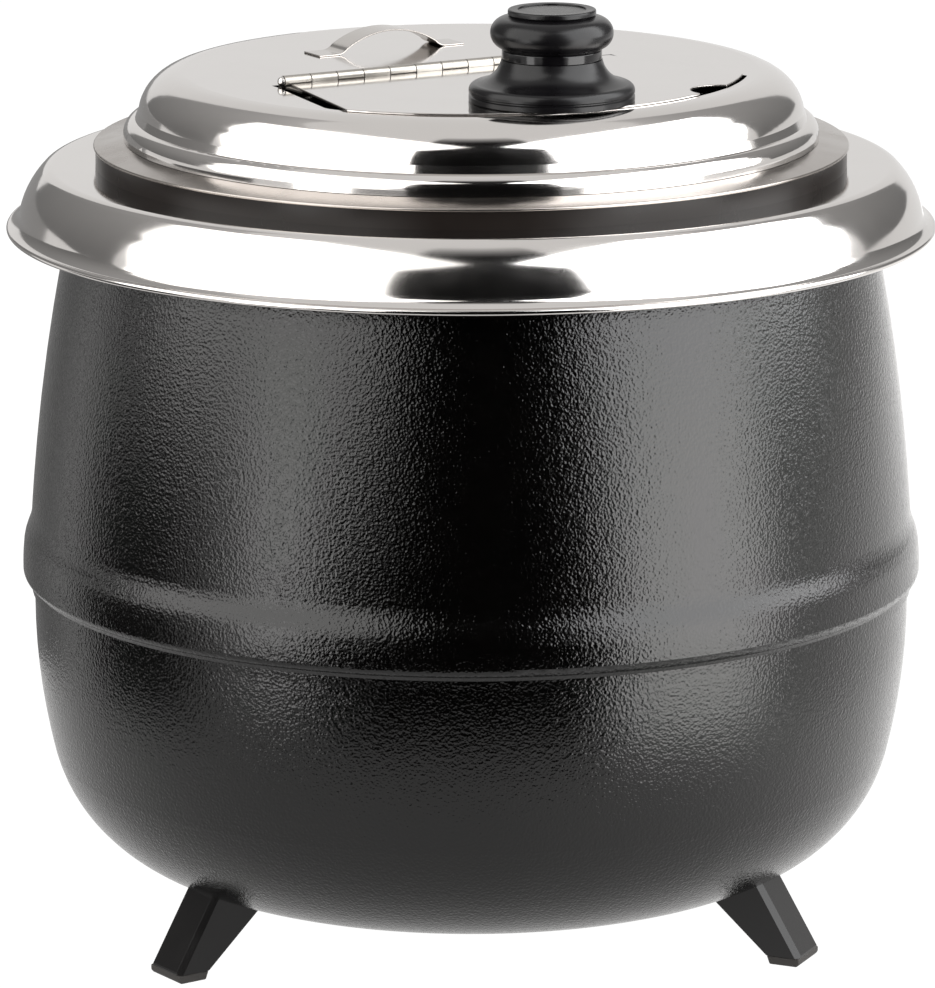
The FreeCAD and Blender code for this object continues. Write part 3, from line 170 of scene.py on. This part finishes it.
def polished_steel(name="polished_steel", rough=0.085, tint=(0.66, 0.635, 0.615)):
    """Mirror-polished stainless steel, with faint rings from the polishing mop."""
    made, tree, shader = shader_material(name)
    here = place_on_piece(tree)
    parts = node(tree, "ShaderNodeSeparateXYZ", {0: here})
    flat = node(tree, "ShaderNodeCombineXYZ", {0: parts.outputs[0], 1: parts.outputs[1]})
    reach = node(tree, "ShaderNodeVectorMath", {0: flat.outputs[0]}, operation="LENGTH").outputs["Value"]
    turned = node(tree, "ShaderNodeCombineXYZ", {0: reach, 2: parts.outputs[2]}).outputs[0]
    rings = noise(tree, turned, 2600.0, 3.0, 0.6)
    cloud = noise(tree, here, 34.0, 4.0, 0.6)
    waves = relief(tree, noise(tree, here, 14.0, 1.0), 0.0009, 0.12)
    connect(
        tree,
        shader,
        Base_Color=blend_colours(tree, cloud, tint, tuple(c * 0.965 for c in tint)),
        Metallic=1.0,
        Roughness=between(tree, cloud, rough * 0.7, rough * 1.6, 0.3, 0.7),
        Normal=relief(tree, rings, 0.000004, 0.35, waves),
    )
    return made


def satin_steel(name="satin_steel", rough=0.26, tint=(0.62, 0.6, 0.58), grain=(30.0, 30.0, 900.0)):
    """Stainless or zinc-plated steel with a drawn, satin grain."""
    made, tree, shader = shader_material(name)
    lines = noise(tree, place_on_piece(tree, grain), 3.0, 4.0, 0.6)
    cloud = noise(tree, place_on_piece(tree), 45.0, 3.0)
    connect(
        tree,
        shader,
        Base_Color=blend_colours(tree, cloud, tint, tuple(c * 0.88 for c in tint)),
        Metallic=1.0,
        Roughness=between(tree, lines, rough * 0.75, rough * 1.3, 0.3, 0.7),
        Normal=relief(tree, lines, 0.00004, 0.25),
    )
    return made


def moulded_plastic(
    name, colour, rough, grain_depth=0.00003, grain_scale=2200.0, mottle=0.25, ior=1.49
):
    """Moulded plastic with a fine sparked grain and slightly uneven gloss."""
    made, tree, shader = shader_material(name)
    here = place_on_piece(tree)
    grain = noise(tree, here, grain_scale, 2.0)
    cloud = noise(tree, here, 55.0, 3.0)
    dark = tuple(c * (1.0 - mottle) for c in colour)
    connect(
        tree,
        shader,
        Base_Color=blend_colours(tree, cloud, dark, colour),
        Roughness=between(tree, cloud, rough * 0.85, rough * 1.2, 0.3, 0.7),
        Normal=relief(tree, grain, grain_depth, 0.5),
        IOR=ior,
    )
    return made


def rubber():
    """Matt black rubber with dust in its pores."""
    made, tree, shader = shader_material("sole_rubber")
    here = place_on_piece(tree)
    dust = noise(tree, here, 160.0, 4.0, 0.7)
    connect(
        tree,
        shader,
        Base_Color=blend_colours(tree, dust, (0.012, 0.0105, 0.0095), (0.028, 0.025, 0.022)),
        Roughness=between(tree, dust, 0.55, 0.8),
        Normal=relief(tree, noise(tree, here, 1500.0, 3.0), 0.00006, 0.6),
    )
    return made


def oxidised_tube():
    """Heater tube, brown-grey and blued in patches."""
    made, tree, shader = shader_material("element_sheath")
    here = place_on_piece(tree)
    heat = noise(tree, here, 70.0, 4.0, 0.65)
    connect(
        tree,
        shader,
        Base_Color=blend_colours(tree, heat, (0.16, 0.13, 0.11), (0.27, 0.25, 0.27)),
        Metallic=0.85,
        Roughness=between(tree, heat, 0.35, 0.6),
        Normal=relief(tree, noise(tree, here, 900.0, 3.0), 0.00005, 0.5),
    )
    return made


def cast_plate():
    """Aluminium with a rough cast skin."""
    made, tree, shader = shader_material("heater_alloy")
    here = place_on_piece(tree)
    skin = noise(tree, here, 380.0, 4.0, 0.6)
    connect(
        tree,
        shader,
        Base_Color=blend_colours(tree, skin, (0.5, 0.5, 0.5), (0.66, 0.66, 0.65)),
        Metallic=1.0,
        Roughness=between(tree, skin, 0.35, 0.55),
        Normal=relief(tree, skin, 0.0002, 0.5),
    )
    return made


def tinted_metal(name, first, second, rough):
    """Copper or brass, a little tarnished."""
    made, tree, shader = shader_material(name)
    here = place_on_piece(tree)
    tarnish = noise(tree, here, 120.0, 4.0, 0.6)
    connect(
        tree,
        shader,
        Base_Color=blend_colours(tree, tarnish, first, second),
        Metallic=1.0,
        Roughness=between(tree, tarnish, rough * 0.8, rough * 1.4),
        Normal=relief(tree, noise(tree, here, 1400.0, 2.0), 0.00002, 0.4),
    )
    return made


def ceramic():
    """Glazed, cream-coloured ceramic."""
    made, tree, shader = shader_material("ceramic")
    here = place_on_piece(tree)
    speck = noise(tree, here, 700.0, 3.0, 0.7)
    connect(
        tree,
        shader,
        Base_Color=blend_colours(tree, speck, (0.83, 0.8, 0.72), (0.9, 0.88, 0.82)),
        Roughness=between(tree, speck, 0.18, 0.34),
        Normal=relief(tree, noise(tree, here, 300.0, 2.0), 0.0001, 0.3),
    )
    return made


def glass_blanket():
    """Glass-fibre blanket: matted, yellowish-white fibres."""
    made, tree, shader = shader_material("insulation")
    long_fibres = noise(tree, place_on_piece(tree, (1.0, 1.0, 5.0)), 500.0, 5.0, 0.7)
    cross_fibres = noise(tree, place_on_piece(tree, (5.0, 5.0, 1.0)), 420.0, 5.0, 0.7)
    mat = maths(tree, "MAXIMUM", long_fibres, cross_fibres)
    connect(
        tree,
        shader,
        Base_Color=blend_colours(tree, mat, (0.55, 0.5, 0.38), (0.86, 0.83, 0.72)),
        Roughness=0.95,
        Normal=relief(tree, mat, 0.0012, 0.8),
        Sheen_Weight=0.4,
    )
    return made


def amber_lens():
    """Cloudy amber plastic that lets some light in."""
    made, tree, shader = shader_material("lamp_amber")
    here = place_on_piece(tree)
    tint = noise(tree, here, 240.0)
    connect(
        tree,
        shader,
        Base_Color=blend_colours(tree, tint, (0.85, 0.3, 0.03), (0.95, 0.45, 0.08)),
        Roughness=between(tree, noise(tree, here, 90.0), 0.08, 0.16),
        Subsurface_Weight=0.35,
        Subsurface_Radius=(0.004, 0.0018, 0.0006),
        Normal=relief(tree, noise(tree, here, 500.0), 0.00005, 0.4),
    )
    return made


def make_materials():
    """One finish for each of the record's material slots, and a few for single pieces."""
    steel_grain, print_grain = (200.0, 200.0, 200.0), (900.0, 30.0, 30.0)
    copper = (0.62, 0.27, 0.15), (0.8, 0.42, 0.27)
    brass = (0.62, 0.45, 0.18), (0.78, 0.6, 0.3)
    near_black = (0.0026, 0.0023, 0.0028)
    # Painted shade: the collar's near-black brown stands for the shadow gap under the pot's overhanging
    # flange.
    collar_painted_shade = (0.008, 0.0058, 0.0048)
    foot_black = (0.006, 0.0055, 0.0055)
    pointer = (0.85, 0.85, 0.83)
    return {
        "black_enamel": powder_coat(),
        "polished_steel": polished_steel(),
        "satin_steel": satin_steel(),
        "spun_steel": polished_steel("spun_steel", 0.2, (0.36, 0.33, 0.305)),
        "hinge_steel": polished_steel("hinge_steel", 0.34, (0.36, 0.34, 0.31)),
        "strap_steel": polished_steel("strap_steel", 0.14, (0.55, 0.525, 0.5)),
        # Painted shade: a darker, rougher copy of satin steel for thin sheet's rounded edges, so they show no
        # edge highlight.
        "rough_edge_painted_shade": satin_steel("rough_edge_painted_shade", 0.42, (0.3, 0.28, 0.265), (300.0, 300.0, 300.0)),
        "zinc_steel": satin_steel("zinc_steel", 0.32, (0.56, 0.56, 0.55), steel_grain),
        "heater_alloy": cast_plate(),
        "scale_print": satin_steel("scale_print", 0.3, (0.7, 0.7, 0.7), print_grain),
        "element_sheath": oxidised_tube(),
        "copper_tube": tinted_metal("copper_tube", *copper, 0.28),
        "brass_insert": tinted_metal("brass_insert", *brass, 0.25),
        "ceramic": ceramic(),
        "control_case": moulded_plastic("control_case", (0.16, 0.15, 0.14), 0.5),
        "insulation": glass_blanket(),
        # The collar's colour is painted shade: the shadow gap under the pot's flange.
        "collar_black": moulded_plastic("collar_black", collar_painted_shade, 0.3, 0.00002, ior=1.3),
        "foot_plastic": moulded_plastic("foot_plastic", foot_black, 0.13, 0.000012, 900.0, ior=1.4),
        "sole_rubber": rubber(),
        "bezel_plastic": moulded_plastic("bezel_plastic", (0.018, 0.018, 0.018), 0.42, 0.00006),
        "pointer_white": moulded_plastic("pointer_white", pointer, 0.4, 0.00002, mottle=0.06),
        "lamp_amber": amber_lens(),
        "knob_plastic": moulded_plastic("knob_plastic", near_black, 0.27, 0.00002, ior=1.36),
        "knob_gloss": moulded_plastic("knob_gloss", near_black, 0.14, 0.000003, 700.0, ior=1.45),
    }


# ---- camera, light and floor -----------------------------------------------------------------------

CAMERA_TURN = -5.26  # degrees round the kettle from the front, towards the right
CAMERA_DISTANCE = 2.289
CAMERA_HEIGHT = 0.695
CAMERA_PITCH = 13.09  # degrees down
CAMERA_AIM_OFF = -0.034  # degrees past the kettle's axis, towards the right
CAMERA_LENS_MM = 231.3
SENSOR_MM = 36.0
KETTLE_MIDDLE = 0.2  # the height that the softboxes face


def towards(turn, distance, height):
    """A point at this turn round the kettle from the front, counted towards the right."""
    angle = math.radians(turn)
    return Vector((distance * math.sin(angle), -distance * math.cos(angle), height))


def look_from(thing, place, target):
    """Puts a camera or a lamp at a place and turns it to a target."""
    thing.location = place
    direction = Vector(target) - Vector(place)
    thing.rotation_euler = direction.to_track_quat("-Z", "Y").to_euler()


def make_camera():
    data = bpy.data.cameras.new("camera")
    data.lens = CAMERA_LENS_MM
    data.sensor_width = SENSOR_MM
    camera = bpy.data.objects.new("camera", data)
    bpy.context.scene.collection.objects.link(camera)
    place = towards(CAMERA_TURN, CAMERA_DISTANCE, CAMERA_HEIGHT)
    pitch = math.radians(CAMERA_PITCH)
    turn = math.radians(CAMERA_AIM_OFF - CAMERA_TURN)
    flat = math.cos(pitch)
    look_from(camera, place, place + Vector((math.sin(turn) * flat, math.cos(turn) * flat, -math.sin(pitch))))
    data.clip_start, data.clip_end = 0.05, 60.0
    data.dof.use_dof = False
    bpy.context.scene.camera = camera


def softbox(name, turn, lift, distance, wide, tall, radiance, colour):
    """A square studio lamp that faces the kettle. Only its light and its reflection show."""
    data = bpy.data.lights.new(name, "AREA")
    data.shape = "RECTANGLE"
    data.size, data.size_y = wide, tall
    data.energy = radiance * math.pi * wide * tall
    data.color = colour
    lamp = bpy.data.objects.new(name, data)
    bpy.context.scene.collection.objects.link(lamp)
    flat = distance * math.cos(math.radians(lift))
    height = KETTLE_MIDDLE + distance * math.sin(math.radians(lift))
    look_from(lamp, towards(CAMERA_TURN + turn, flat, height), (0, 0, KETTLE_MIDDLE))
    lamp.visible_camera = False


def glow(name, low, high, low_z=-0.25, high_z=0.0, tint=(1.0, 0.99, 0.98)):
    """A studio panel's light: its radiance goes from low to high between two heights."""
    made = bpy.data.materials.new(name)
    made.use_nodes = True
    tree = made.node_tree
    tree.nodes.clear()
    here = place_on_piece(tree)
    height = node(tree, "ShaderNodeSeparateXYZ", {0: here}).outputs[2]
    level = between(tree, height, low, high, low_z, high_z)
    cloth = between(tree, noise(tree, here, 6.0), 0.97, 1.03)
    strength = maths(tree, "MULTIPLY", level, cloth)
    light = node(tree, "ShaderNodeEmission", {"Color": (*tint, 1.0), "Strength": strength})
    out = node(tree, "ShaderNodeOutputMaterial")
    tree.links.new(light.outputs[0], out.inputs["Surface"])
    made.cycles.emission_sampling = "NONE"
    return made


def stage_mesh(name, corners, faces, material, *seen_by):
    """A piece of the studio; it shows only to the kinds of ray that are named."""
    mesh = bpy.data.meshes.new(name)
    mesh.from_pydata([tuple(c) for c in corners], [], faces)
    mesh.materials.append(material)
    made = bpy.data.objects.new(name, mesh)
    bpy.context.scene.collection.objects.link(made)
    for ray in ("camera", "diffuse", "glossy", "transmission", "shadow", "volume_scatter"):
        setattr(made, "visible_" + ray, ray in seen_by)
    return made


def floor_light():
    """A white shooting table, lit evenly enough to leave no shadow."""
    made, tree, shader = shader_material("floor_white")
    tone = noise(tree, place_on_piece(tree), 3.0)
    connect(
        tree,
        shader,
        Base_Color=(0.04, 0.04, 0.04, 1.0),
        Roughness=1.0,
        Specular_IOR_Level=0.0,
        Emission_Color=blend_colours(tree, tone, (1.0, 1.0, 1.0), (1.0, 0.995, 0.99)),
        Emission_Strength=1.02,
    )
    made.cycles.emission_sampling = "NONE"
    return made


def table_sheen():
    """What the kettle's underside mirrors of the table: brighter towards the right-hand softbox."""
    made = glow("table_sheen", 0.8, 1.5)
    tree = made.node_tree
    across = tree.nodes["Separate XYZ"].outputs[0]
    level = tree.nodes["Map Range"]
    tree.links.new(across, level.inputs["Value"])
    level.inputs[1].default_value, level.inputs[2].default_value = 0.0, 0.4
    return made


def make_floor():
    """The table's top, and the floor round it, which the kettle's polish doesn't mirror."""
    material = floor_light()
    table, far, steps = 0.43, 9.0, 96
    ring = [(math.cos(math.tau * n / steps), math.sin(math.tau * n / steps)) for n in range(steps)]
    corners = [(far * x, far * y, 0.0) for x, y in ring]
    stage_mesh("floor", corners, [tuple(range(steps))], material, "camera", "diffuse")
    corners = [(table * x, table * y, -0.0005) for x, y in ring]
    stage_mesh("table_sheen", corners, [tuple(range(steps))], table_sheen(), "glossy")


class Panel(NamedTuple):
    """A curved studio panel that shows only in reflections.

    Its turns are counted from the camera in degrees. Its light goes from dim, at the height dim_z and
    below, to bright, at bright_z and above.
    """

    name: str
    first_turn: float
    last_turn: float
    bottom: float
    top: float
    dim: float
    bright: float
    dim_z: float = -0.25
    bright_z: float = 0.0
    distance: float = 1.2


PANELS = (
    Panel("dark_front", -20.0, 28.0, -1.6, 4.6, 0.004, 0.86, 2.3, 4.6),
    Panel("dark_front_low", -37.0, 34.0, -1.6, 0.1, 0.002, 0.002, distance=1.22),
    Panel("soft_left_low", -56.0, -38.0, -1.6, 0.3, 0.2, 4.2, -0.2, -0.07),
    Panel("gap_left_low", -110.0, -72.0, -1.6, 0.16, 0.02, 0.1, -0.3, 0.1),
    Panel("wall_left_low", -128.0, -110.0, -1.6, 0.2, 0.85, 0.95),
    Panel("wall_back_low", -175.0, -128.0, -1.6, 0.35, 0.25, 0.3),
    Panel("soft_right_low", 36.0, 76.0, -1.6, 0.3, 4.6, 5.6, -0.3, 0.0),
    Panel("wall_right_low", 80.0, 112.0, -1.6, 0.1, 1.0, 1.3),
    Panel("wall_far_low", 112.0, 175.0, -1.6, 0.1, 1.2, 1.4),
    Panel("side_left", -150.0, -96.0, 0.36, 2.6, 0.2, 0.6, 0.4, 2.6, 1.4),
    Panel("side_right", 111.0, 150.0, 0.36, 2.6, 0.2, 0.6, 0.4, 2.6, 1.4),
)


def make_panel(panel):
    degrees_a_step = 3
    steps = max(2, round((panel.last_turn - panel.first_turn) / degrees_a_step))
    sweep = panel.last_turn - panel.first_turn
    turns = [CAMERA_TURN + panel.first_turn + sweep * number / steps for number in range(steps + 1)]
    corners = [
        towards(turn, panel.distance, height) for height in (panel.bottom, panel.top) for turn in turns
    ]
    faces = [(n, n + 1, n + steps + 2, n + steps + 1) for n in range(steps)]
    light = glow(panel.name, panel.dim, panel.bright, panel.dim_z, panel.bright_z)
    stage_mesh(panel.name, corners, faces, light, "glossy")


def make_studio():
    """White world, floor, two softboxes, and the panels that the polished pieces mirror."""
    scene = bpy.context.scene
    world = bpy.data.worlds.new("studio")
    scene.world = world
    world.use_nodes = True
    world.cycles.sampling_method = "NONE"
    background = world.node_tree.nodes["Background"]
    background.inputs["Color"].default_value = (1.0, 0.99, 0.98, 1.0)
    background.inputs["Strength"].default_value = 0.86
    scene.view_settings.view_transform = "Standard"
    make_floor()
    softbox("softbox_left", -57.0, 34.0, 1.35, 1.95, 1.6, 2.2, (1.0, 0.99, 0.97))
    softbox("softbox_right", 69.0, 34.0, 1.35, 2.1, 1.6, 4.4, (0.98, 0.99, 1.0))
    for panel in PANELS:
        make_panel(panel)


# ---- meshes ----------------------------------------------------------------------------------------

ON_AXIS_MM = 1e-4
SMOOTH_TURN = 32.0  # degrees: a turned piece is sharp where it turns by more
SOFT_TURN = 40.0  # degrees: the same for a softened piece


def cosine(degrees):
    return math.cos(math.radians(degrees))


def sine(degrees):
    return math.sin(math.radians(degrees))


class Contour:
    """A section made of lines and arcs, in millimetres: first across from the axis, then up."""

    def __init__(self, across, up):
        self.points = [(across, up)]

    def line(self, across, up):
        """A straight line from the last point to a new one, unless they are the same."""
        if math.dist(self.points[-1], (across, up)) > ON_AXIS_MM:
            self.points.append((across, up))
        return self

    def arc(self, across, up, radius, first, last):
        """An arc round a centre, between two directions in degrees."""
        fewest, degrees_a_step = 6, 5
        steps = max(fewest, round(abs(last - first) / degrees_a_step))
        for number in range(steps + 1):
            turn = first + (last - first) * number / steps
            self.line(across + radius * cosine(turn), up + radius * sine(turn))
        return self

    def curve(self, by_across, by_up, across, up):
        """An arc from the last point to a new one by way of a third."""
        (ax, ay), (bx, by), (cx, cy) = self.points[-1], (by_across, by_up), (across, up)
        double = 2 * (ax * (by - cy) + bx * (cy - ay) + cx * (ay - by))
        a, b, c = ax * ax + ay * ay, bx * bx + by * by, cx * cx + cy * cy
        x = (a * (by - cy) + b * (cy - ay) + c * (ay - by)) / double
        y = (a * (cx - bx) + b * (ax - cx) + c * (bx - ax)) / double
        first, last = (math.degrees(math.atan2(v - y, u - x)) for u, v in ((ax, ay), (cx, cy)))
        clockwise = (bx - ax) * (cy - ay) < (by - ay) * (cx - ax)
        if clockwise and last > first:
            last -= 360
        if not clockwise and last < first:
            last += 360
        return self.arc(x, y, math.dist((x, y), (ax, ay)), first, last)


def piece_from(work, name, sharp):
    """A piece from a working mesh, smooth except where it turns by more than this many degrees."""
    bmesh.ops.recalc_face_normals(work, faces=work.faces)
    mesh = bpy.data.meshes.new(name)
    work.to_mesh(mesh)
    work.free()
    mesh.shade_smooth()
    mesh.set_sharp_from_angle(angle=math.radians(sharp))
    made = bpy.data.objects.new(name, mesh)
    bpy.context.scene.collection.objects.link(made)
    return made


def lathe(name, contour, place=(0.0, 0.0, 0.0), segments=256):
    """Turns a closed contour about an upright axis through this place."""
    work = bmesh.new()
    ways = [math.tau * number / segments for number in range(segments)]
    rows = []
    for across, up in contour.points:
        reach = across * MM
        around = [0.0] if across < ON_AXIS_MM else ways
        corners = [(reach * math.cos(way), reach * math.sin(way), up * MM) for way in around]
        rows.append([work.verts.new(corner) for corner in corners])
    for first, second in zip(rows, rows[1:] + rows[:1]):
        if len(first) == 1 and len(second) == 1:
            continue
        for here in range(segments):
            after = (here + 1) % segments
            corners = [first[here % len(first)], first[after % len(first)]]
            corners += [second[after % len(second)], second[here % len(second)]]
            work.faces.new(list(dict.fromkeys(corners)))
    made = piece_from(work, name, SMOOTH_TURN)
    made.location = place
    return made


def soften(frame, node_name, width_mm, segments=3):
    """A new mesh of a CAD node's shape, with its sharp edges rounded. They get the second finish."""
    same_place, flat_turn, sharp_turn = 0.002 * MM, math.radians(0.5), 0.6
    source = frame["nodes"][node_name]
    work = bmesh.new()
    work.from_mesh(source.data)
    bmesh.ops.transform(work, matrix=source.matrix_world, verts=work.verts)
    bmesh.ops.remove_doubles(work, verts=work.verts, dist=same_place)
    bmesh.ops.dissolve_limit(work, angle_limit=flat_turn, verts=work.verts, edges=work.edges)
    shared = [edge for edge in work.edges if len(edge.link_faces) == 2]
    sharp = [edge for edge in shared if edge.calc_face_angle() > sharp_turn]
    bmesh.ops.bevel(
        work,
        geom=sharp,
        offset=width_mm * MM,
        offset_type="OFFSET",
        segments=segments,
        profile=0.5,
        affect="EDGES",
        clamp_overlap=True,
        material=1,
    )
    made = piece_from(work, node_name + "_soft", SOFT_TURN)
    weights = made.modifiers.new("weights", "WEIGHTED_NORMAL")
    weights.keep_sharp = True
    return made


# ---- the kettle ------------------------------------------------------------------------------------

# How far the sharp edges of these nodes are rounded.
SOFT_EDGES_MM = {
    "flap_plate": 0.26,
    "strap_handle": 0.22,
    "lid_hinge_leaf": 0.22,
    "flap_hinge_leaf": 0.22,
    "foot_pads": 0.5,
    "control_bezel": 0.9,
    "dial_knob": 0.5,
    "gland_nut": 0.4,
}
FOOT_EDGES_MM = 0.9

# Thin sheet: its cut edges get a rougher finish, darkened as painted shade so that they catch no bright edge
# highlight.
SHEET_PIECES = ("flap_plate", "strap_handle", "lid_hinge_leaf", "flap_hinge_leaf")

# Nodes whose finish isn't the plain one of their material slot.
OWN_FINISH = {
    "soup_pot": "spun_steel",
    "lid_hinge_leaf": "hinge_steel",
    "flap_hinge_leaf": "hinge_steel",
    "strap_handle": "strap_steel",
}


def slots_of(frame):
    """The material slot of each CAD node."""
    return {row["node"]: row["material_slot"] for row in frame["record"]["subparts"]}


def dress_frame(frame, finishes):
    """Gives every CAD node its finish."""
    slots = slots_of(frame)
    for name, piece in frame["nodes"].items():
        piece.data.materials.clear()
        piece.data.materials.append(finishes[OWN_FINISH.get(name, slots[name])])


def stand_in(frame, finishes, made, node_name):
    """Puts a new piece in a CAD node's place: on its body and in its finish."""
    slot = slots_of(frame)[node_name]
    finish = OWN_FINISH.get(node_name, slot)
    made.data.materials.append(finishes[finish])
    # Thin sheet's rounded edges take the darker finish, which is painted shade.
    made.data.materials.append(finishes["rough_edge_painted_shade" if node_name in SHEET_PIECES else finish])
    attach(made, body_of(frame["nodes"][node_name])[0])
    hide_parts(node_name)


def ring_contour():
    """The polished rim ring: flat top, rounded shoulder, crown, flare and rolled lip."""
    wall, bore, flat_end, outside = 0.8, 134.0, 152.5, 170.0
    foot, top = 264.3, 288.0
    edge, shoulder, crown, flare, lip = 2.0, 6.0, 31.0, 6.0, 1.1
    shoulder_turn, crown_turn, flare_turn, back_turn = 45, 12, 250, 235
    lip_start, lip_length = 85, 1.6
    edge_x, edge_y = bore + edge, top - edge
    shoulder_y = top - shoulder
    crown_x = flat_end - (crown - shoulder) * cosine(shoulder_turn)
    crown_y = shoulder_y - (crown - shoulder) * sine(shoulder_turn)
    flare_x = crown_x + (crown + flare) * cosine(crown_turn)
    flare_y = crown_y + (crown + flare) * sine(crown_turn)
    lip_x, lip_y = outside - lip, flare_y + flare * sine(flare_turn) - lip
    made = Contour(bore, foot)
    made.arc(edge_x, edge_y, edge, 180, 90)
    made.arc(flat_end, shoulder_y, shoulder, 90, shoulder_turn)
    made.arc(crown_x, crown_y, crown, shoulder_turn, crown_turn)
    made.arc(flare_x, flare_y, flare, 180 + crown_turn, flare_turn)
    made.arc(lip_x, lip_y, lip, lip_start, -90)
    made.line(lip_x - lip_length, lip_y - lip)
    made.arc(flare_x, flare_y, flare + wall, back_turn, 180 + crown_turn)
    made.arc(crown_x, crown_y, crown - wall, crown_turn, shoulder_turn)
    made.arc(flat_end, shoulder_y, shoulder - wall, shoulder_turn, 90)
    made.arc(edge_x, edge_y, edge - wall, 90, 180)
    return made.line(bore + wall, foot)


def knob_contours():
    """The knob's turned pieces, in millimetres above the flap."""
    hole, insert, foot, neck, bulb, cap = 2.7, 4.0, 29.4, 17.7, 21.8, 15.6
    base_top, neck_top, insert_top, grip_top, cap_top = 14.9, 18.3, 29.0, 30.4, 32.6
    round_edge = 0.4

    base = Contour(hole, 0.0).line(foot - 0.4, 0.0).line(foot, 0.4)
    base.line(foot, 2.0).line(foot - 0.5, 2.4).line(foot - 0.5, 2.8).line(foot, 3.2).line(foot, 4.0)
    base.curve(foot - 0.9, 5.8, foot - 2.5, 6.4).line(foot - 5.4, 7.4)
    base.curve(neck + 2.0, 10.8, neck + 0.2, base_top).line(hole, base_top)

    band = Contour(hole, base_top).line(neck - 0.3, base_top)
    band.arc(neck - round_edge, base_top + round_edge, round_edge, -90, 0)
    band.arc(neck - round_edge, neck_top - round_edge, round_edge, 0, 90).line(hole, neck_top)

    grip = Contour(insert, neck_top).line(neck - 0.6, neck_top)
    grip.curve(neck, neck_top + 0.15, neck + 0.4, neck_top + 0.6)
    grip.curve(bulb, 24.2, cap + 1.2, grip_top - 0.6).line(cap - 0.4, grip_top)
    grip.line(0.0, grip_top).line(0.0, insert_top).line(insert, insert_top)

    disc = Contour(0.0, grip_top).line(cap - 0.4, grip_top).line(cap, grip_top + 0.5)
    disc.line(cap, cap_top - 0.6).curve(cap - 0.3, cap_top - 0.1, cap - 0.9, cap_top)
    disc.line(cap - 3.2, cap_top).curve(cap - 3.5, cap_top - 0.15, cap - 3.6, cap_top - 0.5)
    disc.line(0.0, cap_top - 0.5)
    return {"knob_base": base, "knob_neck": band, "knob_grip": grip, "knob_cap": disc}


def build_pieces(frame, finishes):
    """The turned and the softened pieces that stand for plain CAD nodes."""
    ring = lathe("ring_turned", ring_contour(), segments=384)
    stand_in(frame, finishes, ring, "rim_ring")
    low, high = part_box("knob_base")
    knob_place = ((low[0] + high[0]) / 2, (low[1] + high[1]) / 2, low[2])
    for node_name, contour in knob_contours().items():
        stand_in(frame, finishes, lathe(node_name + "_turned", contour, knob_place), node_name)
    widths = dict(SOFT_EDGES_MM)
    slots = slots_of(frame)
    widths.update({name: FOOT_EDGES_MM for name in frame["nodes"] if slots[name] == "foot_plastic"})
    for node_name, width in widths.items():
        stand_in(frame, finishes, soften(frame, node_name, width), node_name)


def main():
    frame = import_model()
    finishes = make_materials()
    make_camera()
    make_studio()
    dress_frame(frame, finishes)
    build_pieces(frame, finishes)


main()
